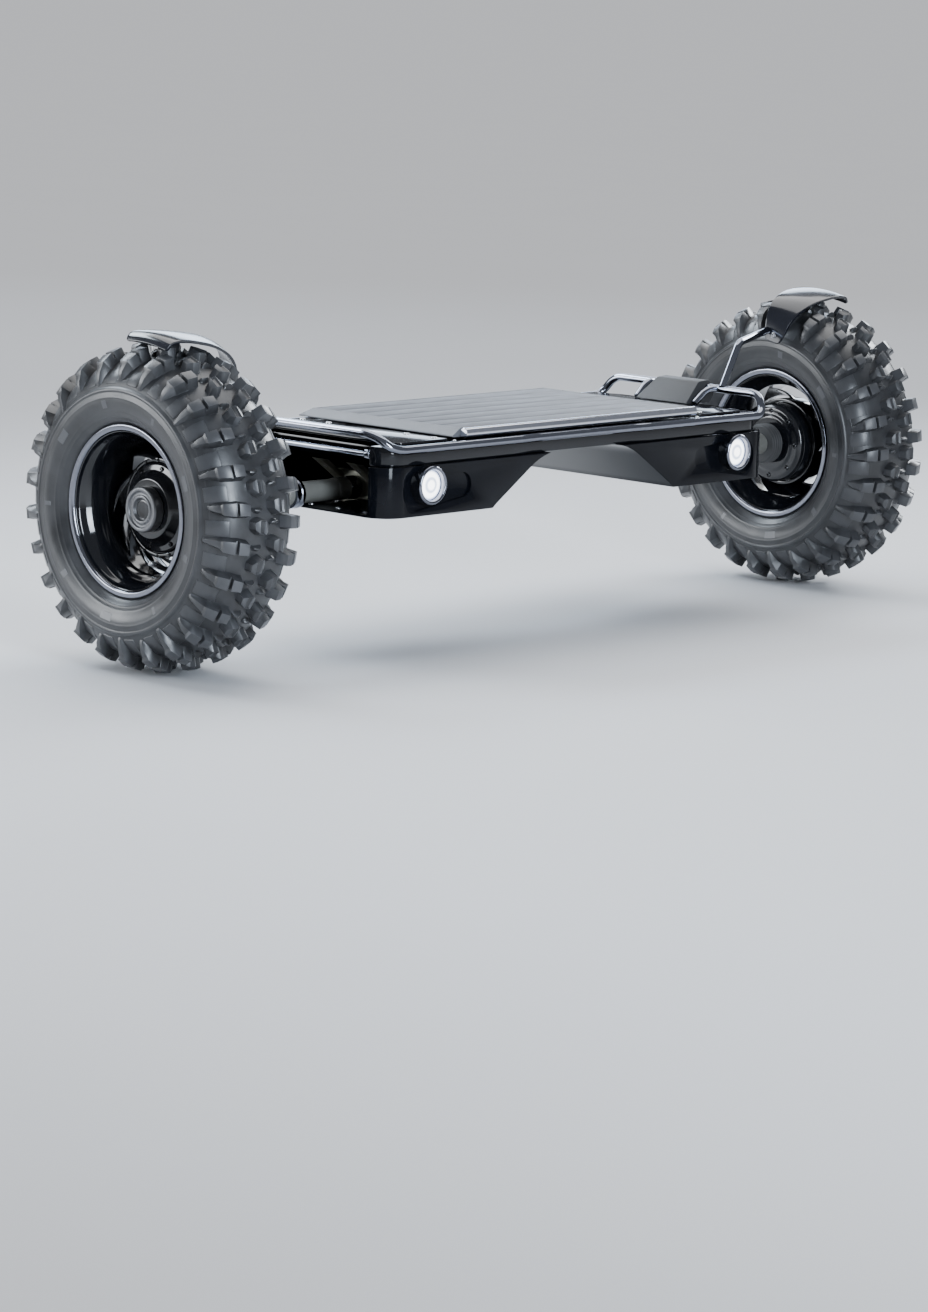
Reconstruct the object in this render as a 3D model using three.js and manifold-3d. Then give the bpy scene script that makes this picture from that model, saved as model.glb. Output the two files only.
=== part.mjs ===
// Off-road self-balancing board: two hub-motor wheels on one axle line, joined by a low chassis
// with a sprung, slatted deck. Millimetres. X runs along the axle, the front is -Y, Z is up, and
// the tyres stand on z = 0. Pieces are drawn for the right end (+X) and mirrored for the left.
import * as THREE from 'three';
import { mergeVertices } from 'three/addons/utils/BufferGeometryUtils.js';
import Module from 'manifold-3d';

const wasm = await Module();
wasm.setup();

// ---- driving dimensions -------------------------------------------------------------------
const GAP = 0.3; // between pieces that touch
const PAST = 1; // how far a cutting tool reaches past the face it cuts
const ROUND_SMALL = 12; // facets of turned pieces
const ROUND = 16;
const ROUND_FINE = 24;
const RAIL_STEPS = 24; // sections along the bent tubes
const HOOP_STEPS = 60;
const STRUT_STEPS = 16;
const TUBE_SIDES = 6;

// wheels: a 13 x 5.00-6 off-road tyre on a 6 inch rim
const TYRE_RADIUS = 165;
const TYRE_FLATS = 32; // facets round the tread; one lies flat on the ground
const WHEEL_X = 490; // from the middle of the board to the middle of a tyre
const BEAD_RADIUS = 82;
const BEAD_HALF_WIDTH = 44;
const LIP_RADIUS = 86;
const LIP_HALF_WIDTH = 47.5;
const LIP_INNER = 78;
const BARREL_INNER = 66;
const BARREL_OUTER = 73;
const SPIDER_OUTER = 50; // ring of the rim that holds the motor
const SPIDER_FROM = -24;
const SPIDER_TO = 4;
const BLADES = 8;
const BLADE_X = -7; // middle of a blade, from the wheel's middle
const MOTOR_RADIUS = 45.5;
const MOTOR_OUTBOARD = 16; // outer face of the motor shell, from the wheel's middle
const MOTOR_INBOARD = -46;
const COVER_JOINT = -36; // where the shell meets its inboard cover
const SHELL_INNER = 41;
const MAGNET_INNER = 36;
const BEARING_OUTER = 16;
const CAP_RADIUS = 23;

// axle line between the wheel and the chassis
const AXLE_RADIUS = 8;
const AXLE_START = 198;
const AXLE_END = WHEEL_X + 21.5;
const NUT_RADIUS = 12.5;
const SLEEVE_RADIUS = 12;
const SLEEVE_START = 237;
const COLLAR_RADIUS = 15.5;
const COLLAR_START = 306;
const COLLAR_END = 318;
const BOOT_INNER_X = 428;
const BOOT_OUTER_X = 443;
const BOOT_RIBS = 3;
const CLAMP_RADIUS = 22;
const CLAMP_FLAT = -12.6; // underside of the pieces over the pod floor, from the axle
const CLAMP_FACE_X = 215;
const YOKE_THICK = 6;
const YOKE_HALF_DEPTH = 32;
const STRAP_INNER = 19; // near edge of each bent strap, from the middle

// chassis plate and the two pods under it
const PLATE_TOP = 222;
const PLATE_BOTTOM = 202;
const PLATE_HALF_DEPTH = 117.2;
const WAIST_HALF_DEPTH = 115;
const WAIST_HALF_LENGTH = 78;
const FLARE_LENGTH = 26; // from the waist to the full depth
const END_X = 292; // end of the arms that carry the end rail
const END_RAIL_RADIUS = 4;
const NOTCH_X = 268; // the grab gap is cut back to here
const NOTCH_HALF_DEPTH = 92;
const PLATE_CORNER = 24;
const WING_TOP = 225;
const WING_START = 194;
const WING_END = 266;
const POD_END_X = 300;
const POD_HALF_DEPTH = 122;
const POD_BOTTOM = 150;
const POD_CORNER = 28;
const POD_TOE_X = 142; // where the sloping face meets the pod's floor
const POD_HEEL_X = 66; // where it meets the plate
const POD_WALL = 5;
const POD_FLOOR = 2;
const BULKHEAD_X = 195;
const BAY_HALF_DEPTH = 99;

// deck
const DECK_BOTTOM = 225.5;
const DECK_TOP = 234.5;
const TRAY = 3; // thickness of the deck under the board
const BOARD_HALF_LENGTH = 175.8;
const BOARD_HALF_DEPTH = 108.3;
const SLATS = 7;
const GROOVE = 1.6;
const GROOVE_DEPTH = 2.5;
const DECK_POST_X = 150;
const DECK_POST_Y = 85;
const DECK_POST_RADIUS = 4;
const BEVEL_RUN = 13;

// control board, in a pocket of the plate
const BOARD_LENGTH = 120;
const BOARD_DEPTH = 90;
const POCKET_MARGIN = 10;

// polished tubes
const RAIL_RADIUS = 4.5;
const RAIL_Y = -122;
const RAIL_Z = 219;
const RAIL_SET_BACK = 1.5; // of the middle stretch, which also lies a little higher
const RAIL_JOINT_X = 204;
const DECK_RAIL_RADIUS = 5.5;
const HOOP_X = 295;
const HOOP_Z = 241; // right end, where the hoop carries the handle block
const LOW_HOOP_Z = 235; // left end
const HOOP_LEG_RADIUS = 3.8;
const HOOP_LEG_Y = 47;
const STRUT_RADIUS = 4.2;

// front lights
const LIGHT_X = 238;
const LIGHT_Z = 182;
const LIGHT_RADIUS = 20;
const LIGHT_FRONT = -132;
const LENS_RADIUS = 15.5;
const LENS_SEAT = -122;

// rear controls, on the right pod only
const BUTTON_X = 214;
const CHARGE_X = 250;
const CONTROL_Z = 176;
const BUTTON_RADIUS = 9;
const SOCKET_RADIUS = 10;
const SOCKET_BORE = 7;
const CAP_HINGE_Z = CONTROL_Z + 15;
const CAP_HINGE_Y = POD_HALF_DEPTH + 4.2;

// fenders: stations across the tyre, from the flange beside it to the lip over its outer shoulder
const FENDER_THICK = 3;
const FENDER_FRONT = -15.3; // front edge, degrees about the axle from straight up
const FENDER_STATIONS = [ // x at the rear edge, x at the front edge, radius, angle of the rear edge
  [417, 419, 121, -4], [418, 422, 136, -4], [420.5, 428, 149, -3.6], [426, 439, 159.5, -3],
  [436, 452, 166.5, -2], [449, 465, 171, -0.5], [466, 479, 174, 1.5], [484, 491, 176, 3.2],
  [500, 502, 177, 4.5], [511, 510, 177, 5], [518, 517, 175.6, 5], [522.5, 521.5, 172.5, 5],
  [525, 524.5, 167.5, 5],
];

// ---- finishes -----------------------------------------------------------------------------
const finish = (color, roughness, metalness) => () =>
  new THREE.MeshStandardMaterial({ color, roughness, metalness });
const rubber = finish(0x17181b, 0.75, 0);
const glossBlack = finish(0x08090d, 0.12, 0.6);
const satinBlack = finish(0x121318, 0.45, 0.3);
const polished = finish(0x9aa0ad, 0.12, 1);
const slatGrey = finish(0x6f717a, 0.5, 0.4);
const castGrey = finish(0x55554f, 0.6, 0.5);
const steel = finish(0x8c8f94, 0.3, 1);
const copper = finish(0xa65a2c, 0.4, 0.9);
const green = finish(0x1f4a2c, 0.6, 0);
const lampWhite = finish(0xffffff, 0.1, 0);

// ---- geometry helpers ---------------------------------------------------------------------
function closed(geometry) {
  const bare = new THREE.BufferGeometry();
  bare.setAttribute('position', geometry.getAttribute('position').clone());
  if (geometry.index) {
    bare.setIndex(geometry.index.clone());
  }
  const merged = mergeVertices(bare, 1e-3);
  return facingOut(withoutSlivers(merged));
}

function withoutSlivers(geometry) {
  const index = geometry.index.array;
  const kept = [];
  for (let i = 0; i < index.length; i += 3) {
    const [a, b, c] = [index[i], index[i + 1], index[i + 2]];
    if (a !== b && b !== c && c !== a) {
      kept.push(a, b, c);
    }
  }
  geometry.setIndex(kept);
  return geometry;
}

function facingOut(geometry) {
  const p = geometry.getAttribute('position');
  const index = geometry.index.array;
  const [a, b, c] = [new THREE.Vector3(), new THREE.Vector3(), new THREE.Vector3()];
  let volume = 0;
  for (let i = 0; i < index.length; i += 3) {
    a.fromBufferAttribute(p, index[i]);
    b.fromBufferAttribute(p, index[i + 1]);
    c.fromBufferAttribute(p, index[i + 2]);
    volume += a.dot(b.cross(c));
  }
  if (volume < 0) {
    const turned = [];
    for (let i = 0; i < index.length; i += 3) {
      turned.push(index[i], index[i + 2], index[i + 1]);
    }
    geometry.setIndex(turned);
  }
  return geometry;
}

function solidOf(geometry) {
  const ready = closed(geometry);
  return new wasm.Manifold(new wasm.Mesh({
    numProp: 3,
    vertProperties: new Float32Array(ready.getAttribute('position').array),
    triVerts: new Uint32Array(ready.index.array),
  }));
}

function geometryOf(solid) {
  const mesh = solid.getMesh();
  const geometry = new THREE.BufferGeometry();
  geometry.setAttribute('position', new THREE.BufferAttribute(mesh.vertProperties, 3));
  geometry.setIndex(new THREE.BufferAttribute(mesh.triVerts, 1));
  return geometry;
}

function join(first, ...rest) {
  return geometryOf(rest.reduce((whole, g) => whole.add(solidOf(g)), solidOf(first)));
}

function cut(first, ...tools) {
  return geometryOf(tools.reduce((whole, g) => whole.subtract(solidOf(g)), solidOf(first)));
}

function common(first, second) {
  return geometryOf(solidOf(first).intersect(solidOf(second)));
}

function mirrored(geometry, x = -1, y = 1) {
  const copy = closed(geometry);
  copy.scale(x, y, 1);
  return facingOut(copy);
}

function block(x0, x1, y0, y1, z0, z1) {
  const geometry = new THREE.BoxGeometry(x1 - x0, y1 - y0, z1 - z0);
  return geometry.translate((x0 + x1) / 2, (y0 + y1) / 2, (z0 + z1) / 2);
}

const AXES = {
  x: new THREE.Matrix4().makeBasis(
    new THREE.Vector3(0, 1, 0), new THREE.Vector3(0, 0, 1), new THREE.Vector3(1, 0, 0)),
  y: new THREE.Matrix4().makeBasis(
    new THREE.Vector3(1, 0, 0), new THREE.Vector3(0, 0, 1), new THREE.Vector3(0, -1, 0)),
  z: new THREE.Matrix4(),
};

// A prism along one axis. The outline is (y, z), (x, z) or (x, y) for axis x, y or z.
function prism(outline, axis, from, to, curveSegments = 6) {
  const shape = outline instanceof THREE.Shape
    ? outline
    : new THREE.Shape(outline.map(([a, b]) => new THREE.Vector2(a, b)));
  const geometry = new THREE.ExtrudeGeometry(shape, {
    depth: to - from, steps: 1, bevelEnabled: false, curveSegments,
  });
  geometry.applyMatrix4(AXES[axis]);
  const offset = { x: [from, 0, 0], y: [0, to, 0], z: [0, 0, from] }[axis];
  return geometry.translate(...offset);
}

// A turned piece about the X axis. The profile is (radius, x) and closes on itself or on the axis.
function turned(profile, segments) {
  const onAxis = profile[0][0] === 0;
  const points = (onAxis ? profile : [...profile, profile[0]])
    .map(([r, x]) => new THREE.Vector2(r, x));
  const geometry = new THREE.LatheGeometry(points, segments, Math.PI / segments);
  return geometry.applyMatrix4(new THREE.Matrix4().makeBasis(
    new THREE.Vector3(0, -1, 0), new THREE.Vector3(1, 0, 0), new THREE.Vector3(0, 0, 1)));
}

// The same, about the Y axis: the profile is (radius, y).
function turnedAboutY(profile, segments) {
  return turned(profile, segments).rotateZ(Math.PI / 2);
}

// A ring about the X axis, or a solid disc where the inner radius is 0.
function ring(inner, outer, from, to, segments) {
  return turned([[inner, from], [outer, from], [outer, to], [inner, to]], segments);
}

function aboutY(inner, outer, from, to, segments) {
  return ring(inner, outer, from, to, segments).rotateZ(Math.PI / 2);
}

// A round bar along straight runs with bends of the given size at its corners.
function tube(corners, bend, radius, steps, sides = TUBE_SIDES) {
  const points = corners.map((c) => new THREE.Vector3(...c));
  const path = new THREE.CurvePath();
  let from = points[0];
  for (let i = 1; i < points.length - 1; i += 1) {
    const before = new THREE.Vector3().subVectors(points[i - 1], points[i]);
    const after = new THREE.Vector3().subVectors(points[i + 1], points[i]);
    const start = points[i].clone().add(before.clone().setLength(Math.min(bend, before.length() * 0.48)));
    const end = points[i].clone().add(after.clone().setLength(Math.min(bend, after.length() * 0.48)));
    path.add(new THREE.LineCurve3(from, start));
    path.add(new THREE.QuadraticBezierCurve3(start, points[i], end));
    from = end;
  }
  path.add(new THREE.LineCurve3(from, points[points.length - 1]));
  const section = new THREE.Shape();
  for (let k = 0; k < sides; k += 1) {
    const angle = (2 * Math.PI * (k + 0.5)) / sides;
    const [x, y] = [radius * Math.cos(angle), radius * Math.sin(angle)];
    if (k === 0) {
      section.moveTo(x, y);
    } else {
      section.lineTo(x, y);
    }
  }
  return new THREE.ExtrudeGeometry(section, { steps, extrudePath: path, bevelEnabled: false });
}

// A skin through rings of points. Each ring runs along one long side and back along the other.
function loft(rings) {
  const count = rings[0].length;
  const positions = rings.flat().flatMap((p) => [p.x, p.y, p.z]);
  const index = [];
  const quad = (a, b, c, d) => index.push(a, b, c, a, c, d);
  for (let r = 0; r + 1 < rings.length; r += 1) {
    for (let k = 0; k < count; k += 1) {
      const next = (k + 1) % count;
      quad(r * count + k, r * count + next, (r + 1) * count + next, (r + 1) * count + k);
    }
  }
  const last = (rings.length - 1) * count;
  for (let k = 0; k < count / 2 - 1; k += 1) {
    const back = count - 1 - k;
    quad(k, back, back - 1, k + 1);
    quad(last + k, last + k + 1, last + back - 1, last + back);
  }
  const geometry = new THREE.BufferGeometry();
  geometry.setAttribute('position', new THREE.Float32BufferAttribute(positions, 3));
  geometry.setIndex(index);
  return geometry;
}

// ---- wheel, about its own middle ------------------------------------------------------------
// The tyre is a hollow carcass, open towards the rim. Its profile is wider at the corners of the
// facets, so that the flats themselves lie at the radii given here.
function tyre() {
  const outside = [
    [BEAD_RADIUS, BEAD_HALF_WIDTH], [87.5, BEAD_HALF_WIDTH], [106, 59], [126, 62], [144, 57],
    [157, 44], [TYRE_RADIUS, 26],
  ];
  const inside = [[BEAD_RADIUS, 35], [102, 50], [140, 50], [152, 38]];
  const otherSide = (points) => points.map(([r, x]) => [r, -x]).reverse();
  const toCorner = 1 / Math.cos(Math.PI / TYRE_FLATS);
  const profile = [...inside.slice().reverse(), ...outside, ...otherSide(outside),
    ...otherSide(inside.slice().reverse())];
  return turned(profile.map(([r, x]) => [r * toCorner, x]), TYRE_FLATS);
}

function rimBarrel() {
  const [seatRadius, seatEdge] = [BEAD_RADIUS - GAP, BEAD_HALF_WIDTH + GAP * 2];
  const inside = [
    [LIP_INNER, -LIP_HALF_WIDTH], [74, -39], [BARREL_INNER, SPIDER_FROM], [BARREL_INNER, 14],
    [69, 31], [76, 40], [LIP_INNER, LIP_HALF_WIDTH],
  ];
  const outside = [
    [LIP_RADIUS, LIP_HALF_WIDTH], [LIP_RADIUS, seatEdge], [seatRadius, seatEdge],
    [seatRadius, 34], [BARREL_OUTER, 26], [BARREL_OUTER, -26], [seatRadius, -34],
    [seatRadius, -seatEdge], [LIP_RADIUS, -seatEdge], [LIP_RADIUS, -LIP_HALF_WIDTH],
  ];
  return turned([...inside, ...outside], ROUND_FINE);
}

// One swept blade between the spider ring and the barrel.
function rimBlade(angle) {
  const stations = [ // radius, turn about the axle, half chord, pitch in degrees
    [SPIDER_OUTER - 1.5, 0, 15, 38], [57, 0.17, 18, 32], [BARREL_INNER + 4, 0.34, 21, 26],
  ];
  const halfThick = 2;
  const rings = stations.map(([radius, turn, chord, degrees]) => {
    const pitch = THREE.MathUtils.degToRad(degrees);
    const corner = (along, off) => {
      const across = along * Math.cos(pitch) - off * Math.sin(pitch);
      const x = BLADE_X + along * Math.sin(pitch) + off * Math.cos(pitch);
      const around = angle + turn + across / radius;
      return new THREE.Vector3(x, radius * Math.cos(around), radius * Math.sin(around));
    };
    return [corner(-chord, halfThick), corner(chord, halfThick), corner(chord, -halfThick),
      corner(-chord, -halfThick)];
  });
  return loft(rings);
}

function rim() {
  const spider = ring(MOTOR_RADIUS + GAP * 2, SPIDER_OUTER, SPIDER_FROM, SPIDER_TO, ROUND_FINE);
  const blades = [];
  for (let k = 0; k < BLADES; k += 1) {
    blades.push(rimBlade((2 * Math.PI * k) / BLADES));
  }
  return join(rimBarrel(), spider, ...blades);
}

function motorShell() {
  const seat = BEARING_OUTER + GAP;
  return turned([
    [seat, 5], [seat, MOTOR_OUTBOARD], [30, MOTOR_OUTBOARD], [36, 10], [MOTOR_RADIUS, 5],
    [MOTOR_RADIUS, COVER_JOINT], [SHELL_INNER, COVER_JOINT], [SHELL_INNER, -2], [30, 5],
  ], ROUND);
}

function motorCover() {
  const seat = BEARING_OUTER + GAP;
  return turned([
    [seat, MOTOR_INBOARD], [30, MOTOR_INBOARD], [SHELL_INNER, -43], [MOTOR_RADIUS, -39],
    [MOTOR_RADIUS, COVER_JOINT - GAP], [seat, COVER_JOINT - GAP],
  ], ROUND);
}

function hubCap() {
  const [from, step, face] = [MOTOR_OUTBOARD + GAP, 24, 27.5];
  const inner = CAP_RADIUS - 4;
  return turned([
    [0, step], [15, step], [17, face], [CAP_RADIUS - 1.5, face], [CAP_RADIUS, face - 1.5],
    [CAP_RADIUS, from], [inner, from], [inner, step - 2], [0, step - 2],
  ], ROUND);
}

function bearing(from, to) {
  return ring(AXLE_RADIUS + GAP, BEARING_OUTER, from, to, ROUND);
}

function stator() {
  const [hub, tip, teeth] = [22, 34, 9];
  const shape = new THREE.Shape();
  for (let k = 0; k < teeth * 4; k += 1) {
    const angle = (2 * Math.PI * (k + 0.5)) / (teeth * 4);
    const radius = k % 4 < 2 ? tip : hub;
    const [y, z] = [radius * Math.cos(angle), radius * Math.sin(angle)];
    if (k === 0) {
      shape.moveTo(y, z);
    } else {
      shape.lineTo(y, z);
    }
  }
  const bore = new THREE.Path();
  bore.absarc(0, 0, AXLE_RADIUS + GAP, 0, 2 * Math.PI, true);
  shape.holes.push(bore);
  return prism(shape, 'x', -32, -6, 8);
}

// ---- axle line, about the axle --------------------------------------------------------------
function axleNut() {
  const hex = new THREE.Shape();
  for (let k = 0; k < 6; k += 1) {
    const angle = (Math.PI * k) / 3;
    const [y, z] = [NUT_RADIUS * Math.cos(angle), NUT_RADIUS * Math.sin(angle)];
    if (k === 0) {
      hex.moveTo(y, z);
    } else {
      hex.lineTo(y, z);
    }
  }
  const bore = new THREE.Path();
  bore.absarc(0, 0, AXLE_RADIUS + GAP, 0, 2 * Math.PI, true);
  hex.holes.push(bore);
  return prism(hex, 'x', WHEEL_X + 15.2, WHEEL_X + 21, 8);
}

function axleBoot() {
  const [inner, valley, crest] = [AXLE_RADIUS + GAP, 20, 23];
  const ribs = [[inner, BOOT_INNER_X]];
  const pitch = (BOOT_OUTER_X - BOOT_INNER_X) / BOOT_RIBS;
  for (let k = 0; k < BOOT_RIBS; k += 1) {
    ribs.push([valley, BOOT_INNER_X + k * pitch], [crest, BOOT_INNER_X + (k + 0.5) * pitch]);
  }
  ribs.push([valley, BOOT_OUTER_X], [inner, BOOT_OUTER_X]);
  return turned(ribs, ROUND_SMALL);
}

function axleSleeve() {
  const inner = AXLE_RADIUS + GAP;
  const [from, to] = [SLEEVE_START, BOOT_INNER_X - GAP];
  return turned([
    [inner, from], [SLEEVE_RADIUS, from], [SLEEVE_RADIUS, COLLAR_START],
    [COLLAR_RADIUS, COLLAR_START], [COLLAR_RADIUS, COLLAR_END], [SLEEVE_RADIUS, COLLAR_END],
    [SLEEVE_RADIUS, to], [inner, to],
  ], ROUND_SMALL);
}

function axleKnob() {
  const inner = AXLE_RADIUS + GAP;
  const [from, to] = [CLAMP_FACE_X + YOKE_THICK + GAP, SLEEVE_START - GAP];
  return turned([[inner, from], [11.5, from], [12.6, from + 4], [12, from + 10], [inner, to]], ROUND);
}

// The block that clamps the axle to the pod's bulkhead: round on top, flat over the pod's floor.
function axleClamp() {
  const outline = new THREE.Shape();
  outline.moveTo(CLAMP_RADIUS, CLAMP_FLAT);
  outline.lineTo(CLAMP_RADIUS, 0);
  outline.absarc(0, 0, CLAMP_RADIUS, 0, Math.PI, false);
  outline.lineTo(-CLAMP_RADIUS, CLAMP_FLAT);
  const bore = new THREE.Path();
  bore.absarc(0, 0, AXLE_RADIUS + GAP, 0, 2 * Math.PI, true);
  outline.holes.push(bore);
  return prism(outline, 'x', BULKHEAD_X + GAP, CLAMP_FACE_X, 10);
}

// A plate against the clamp with two bent straps that hang it from the chassis plate.
function axleYoke() {
  const [near, far] = [CLAMP_FACE_X + GAP, CLAMP_FACE_X + YOKE_THICK];
  const up = PLATE_BOTTOM - GAP - TYRE_RADIUS;
  const [half, strapEnd, bend] = [YOKE_HALF_DEPTH, 262, CLAMP_FACE_X + 41];
  const axleHole = ring(0, AXLE_RADIUS + GAP, near - PAST, far + PAST, ROUND);
  const face = cut(block(near, far, -half, half, CLAMP_FLAT, 17), axleHole);
  const strap = [
    [near, CLAMP_FLAT], [far, CLAMP_FLAT], [far, 6], [bend + 2, up - 4], [strapEnd, up - 4],
    [strapEnd, up], [bend - 2, up], [near, 9],
  ];
  return join(face, prism(strap, 'y', -half, -STRAP_INNER), prism(strap, 'y', STRAP_INNER, half));
}

// ---- chassis --------------------------------------------------------------------------------
function plateOutline() {
  const [end, deep, waist] = [END_X, PLATE_HALF_DEPTH, WAIST_HALF_DEPTH];
  const [flare, r] = [WAIST_HALF_LENGTH + FLARE_LENGTH, PLATE_CORNER];
  const shape = new THREE.Shape();
  shape.moveTo(-WAIST_HALF_LENGTH, -waist);
  shape.lineTo(WAIST_HALF_LENGTH, -waist);
  shape.lineTo(flare, -deep);
  shape.lineTo(end - r, -deep);
  shape.absarc(end - r, -deep + r, r, -Math.PI / 2, 0, false);
  shape.lineTo(end, -NOTCH_HALF_DEPTH);
  shape.lineTo(NOTCH_X, -NOTCH_HALF_DEPTH);
  shape.lineTo(NOTCH_X, NOTCH_HALF_DEPTH);
  shape.lineTo(end, NOTCH_HALF_DEPTH);
  shape.absarc(end - r, deep - r, r, 0, Math.PI / 2, false);
  shape.lineTo(flare, deep);
  shape.lineTo(WAIST_HALF_LENGTH, waist);
  shape.lineTo(-WAIST_HALF_LENGTH, waist);
  shape.lineTo(-flare, deep);
  shape.lineTo(-end + r, deep);
  shape.absarc(-end + r, deep - r, r, Math.PI / 2, Math.PI, false);
  shape.lineTo(-end, NOTCH_HALF_DEPTH);
  shape.lineTo(-NOTCH_X, NOTCH_HALF_DEPTH);
  shape.lineTo(-NOTCH_X, -NOTCH_HALF_DEPTH);
  shape.lineTo(-end, -NOTCH_HALF_DEPTH);
  shape.absarc(-end + r, -deep + r, r, Math.PI, 1.5 * Math.PI, false);
  shape.lineTo(-flare, -deep);
  return shape;
}

function chassisPlate() {
  const plate = prism(plateOutline(), 'z', PLATE_BOTTOM, PLATE_TOP, 5);
  const wingDepth = PLATE_HALF_DEPTH - 8;
  const wing = block(WING_START, WING_END, -wingDepth, wingDepth, PLATE_TOP - PAST, WING_TOP);
  const [long, deep] = [BOARD_LENGTH / 2 + POCKET_MARGIN, BOARD_DEPTH / 2 + POCKET_MARGIN];
  const boardPocket = block(-long, long, -deep, deep, PLATE_BOTTOM + 6, PLATE_TOP + PAST);
  const whole = join(plate, wing, mirrored(wing));
  const postHoles = deckPosts().map(([x, y]) => (
    post(x, y, DECK_POST_RADIUS + 1, PLATE_TOP - 12, PLATE_TOP + PAST)));
  return cut(whole, boardPocket, ...postHoles);
}

function deckPosts() {
  const places = [];
  for (const x of [-DECK_POST_X, DECK_POST_X]) {
    for (const y of [-DECK_POST_Y, DECK_POST_Y]) {
      places.push([x, y]);
    }
  }
  return places;
}

function post(x, y, radius, from, to) {
  const geometry = new THREE.CylinderGeometry(radius, radius, to - from, 10);
  return geometry.rotateX(Math.PI / 2).translate(x, y, (from + to) / 2);
}

function podOutline() {
  const [start, end, deep, r] = [POD_HEEL_X - 10, POD_END_X, POD_HALF_DEPTH, POD_CORNER];
  const shape = new THREE.Shape();
  shape.moveTo(start, -deep);
  shape.lineTo(end - r, -deep);
  shape.absarc(end - r, -deep + r, r, -Math.PI / 2, 0, false);
  shape.absarc(end - r, deep - r, r, 0, Math.PI / 2, false);
  shape.lineTo(start, deep);
  return shape;
}

// The teardrop hollow round a front light, along the pod's front wall.
function lightHollow() {
  const shape = new THREE.Shape();
  const [big, small, inner, depth] = [22.5, 13, 188, 2];
  const outer = LIGHT_X + 16;
  shape.moveTo(outer, LIGHT_Z + big - 8);
  shape.absarc(outer - 2, LIGHT_Z - 6, big - 2, Math.PI / 2, -Math.PI / 2, true);
  shape.absarc(inner, LIGHT_Z - 4, small, -Math.PI / 2, -1.5 * Math.PI, true);
  return prism(shape, 'y', -POD_HALF_DEPTH - PAST, -POD_HALF_DEPTH + depth, 8);
}

function pod() {
  const top = PLATE_BOTTOM - GAP;
  const slope = (POD_TOE_X - POD_HEEL_X) / (top - POD_BOTTOM);
  const side = (inset, floor, ceiling, end) => [
    [POD_HEEL_X + inset - (ceiling - top) * slope, ceiling],
    [POD_TOE_X + inset - (floor - POD_BOTTOM) * slope, floor],
    [end, floor], [end, ceiling],
  ];
  const outer = common(
    prism(podOutline(), 'z', POD_BOTTOM, top, 5),
    prism(side(0, POD_BOTTOM, top, POD_END_X + PAST), 'y', -POD_HALF_DEPTH, POD_HALF_DEPTH));
  const inside = POD_HALF_DEPTH - POD_WALL;
  const above = top + PAST;
  const store = prism(side(POD_WALL * 1.8, POD_BOTTOM + POD_WALL, above, BULKHEAD_X - POD_WALL),
    'y', -inside, inside);
  const floor = POD_BOTTOM + POD_FLOOR;
  const mouthStart = POD_END_X - POD_CORNER;
  const bay = block(BULKHEAD_X, mouthStart, -inside, inside, floor, above);
  const mouth = block(mouthStart - PAST, POD_END_X + PAST, -BAY_HALF_DEPTH, BAY_HALF_DEPTH,
    floor, above);
  const lamp = aboutY(0, LIGHT_RADIUS + GAP, -POD_HALF_DEPTH - PAST, -POD_HALF_DEPTH + 22, 20)
    .translate(LIGHT_X, 0, LIGHT_Z);
  return cut(outer, store, bay, mouth, lamp, lightHollow());
}

function rearHole(x, radius) {
  const inside = POD_HALF_DEPTH - POD_WALL - PAST;
  return aboutY(0, radius + GAP, inside, POD_HALF_DEPTH + PAST, ROUND).translate(x, 0, CONTROL_Z);
}

function rightPod() {
  return cut(pod(), rearHole(BUTTON_X, BUTTON_RADIUS), rearHole(CHARGE_X, SOCKET_RADIUS));
}

function battery() {
  const [floor, ceiling] = [POD_BOTTOM + POD_WALL + GAP, PLATE_BOTTOM - 2];
  const back = BULKHEAD_X - POD_WALL - 2;
  const halfDepth = 95;
  const outline = [[158, floor], [back, floor], [back, ceiling], [108, ceiling]];
  return prism(outline, 'y', -halfDepth, halfDepth);
}

// ---- front lights ---------------------------------------------------------------------------
function lightHousing() {
  const back = -104;
  return turnedAboutY([
    [0, back], [LIGHT_RADIUS - 2, back], [LIGHT_RADIUS, back - 3],
    [LIGHT_RADIUS, LIGHT_FRONT + 2], [LIGHT_RADIUS - 1.5, LIGHT_FRONT],
    [LENS_RADIUS + 2, LIGHT_FRONT], [LENS_RADIUS + GAP, LIGHT_FRONT + 4],
    [LENS_RADIUS + GAP, LENS_SEAT], [0, LENS_SEAT],
  ], ROUND).translate(LIGHT_X, 0, LIGHT_Z);
}

function lightLens() {
  const [back, face] = [LENS_SEAT - GAP, LIGHT_FRONT + 4];
  return turnedAboutY([
    [0, back], [LENS_RADIUS, back], [LENS_RADIUS, face + 2], [10, face + 0.5], [0, face],
  ], ROUND).translate(LIGHT_X, 0, LIGHT_Z);
}

// ---- polished tubes and the grab handle -----------------------------------------------------
function sideRail() {
  const [half, kink] = [RAIL_JOINT_X - GAP / 2, WAIST_HALF_LENGTH + 17];
  const [y, waistY] = [RAIL_Y, RAIL_Y + RAIL_SET_BACK];
  const waistZ = RAIL_Z + 0.5;
  return tube([
    [-half, y, RAIL_Z], [-kink, y, RAIL_Z], [-WAIST_HALF_LENGTH, waistY, waistZ],
    [WAIST_HALF_LENGTH, waistY, waistZ], [kink, y, RAIL_Z], [half, y, RAIL_Z],
  ], 8, RAIL_RADIUS, RAIL_STEPS);
}

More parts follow.
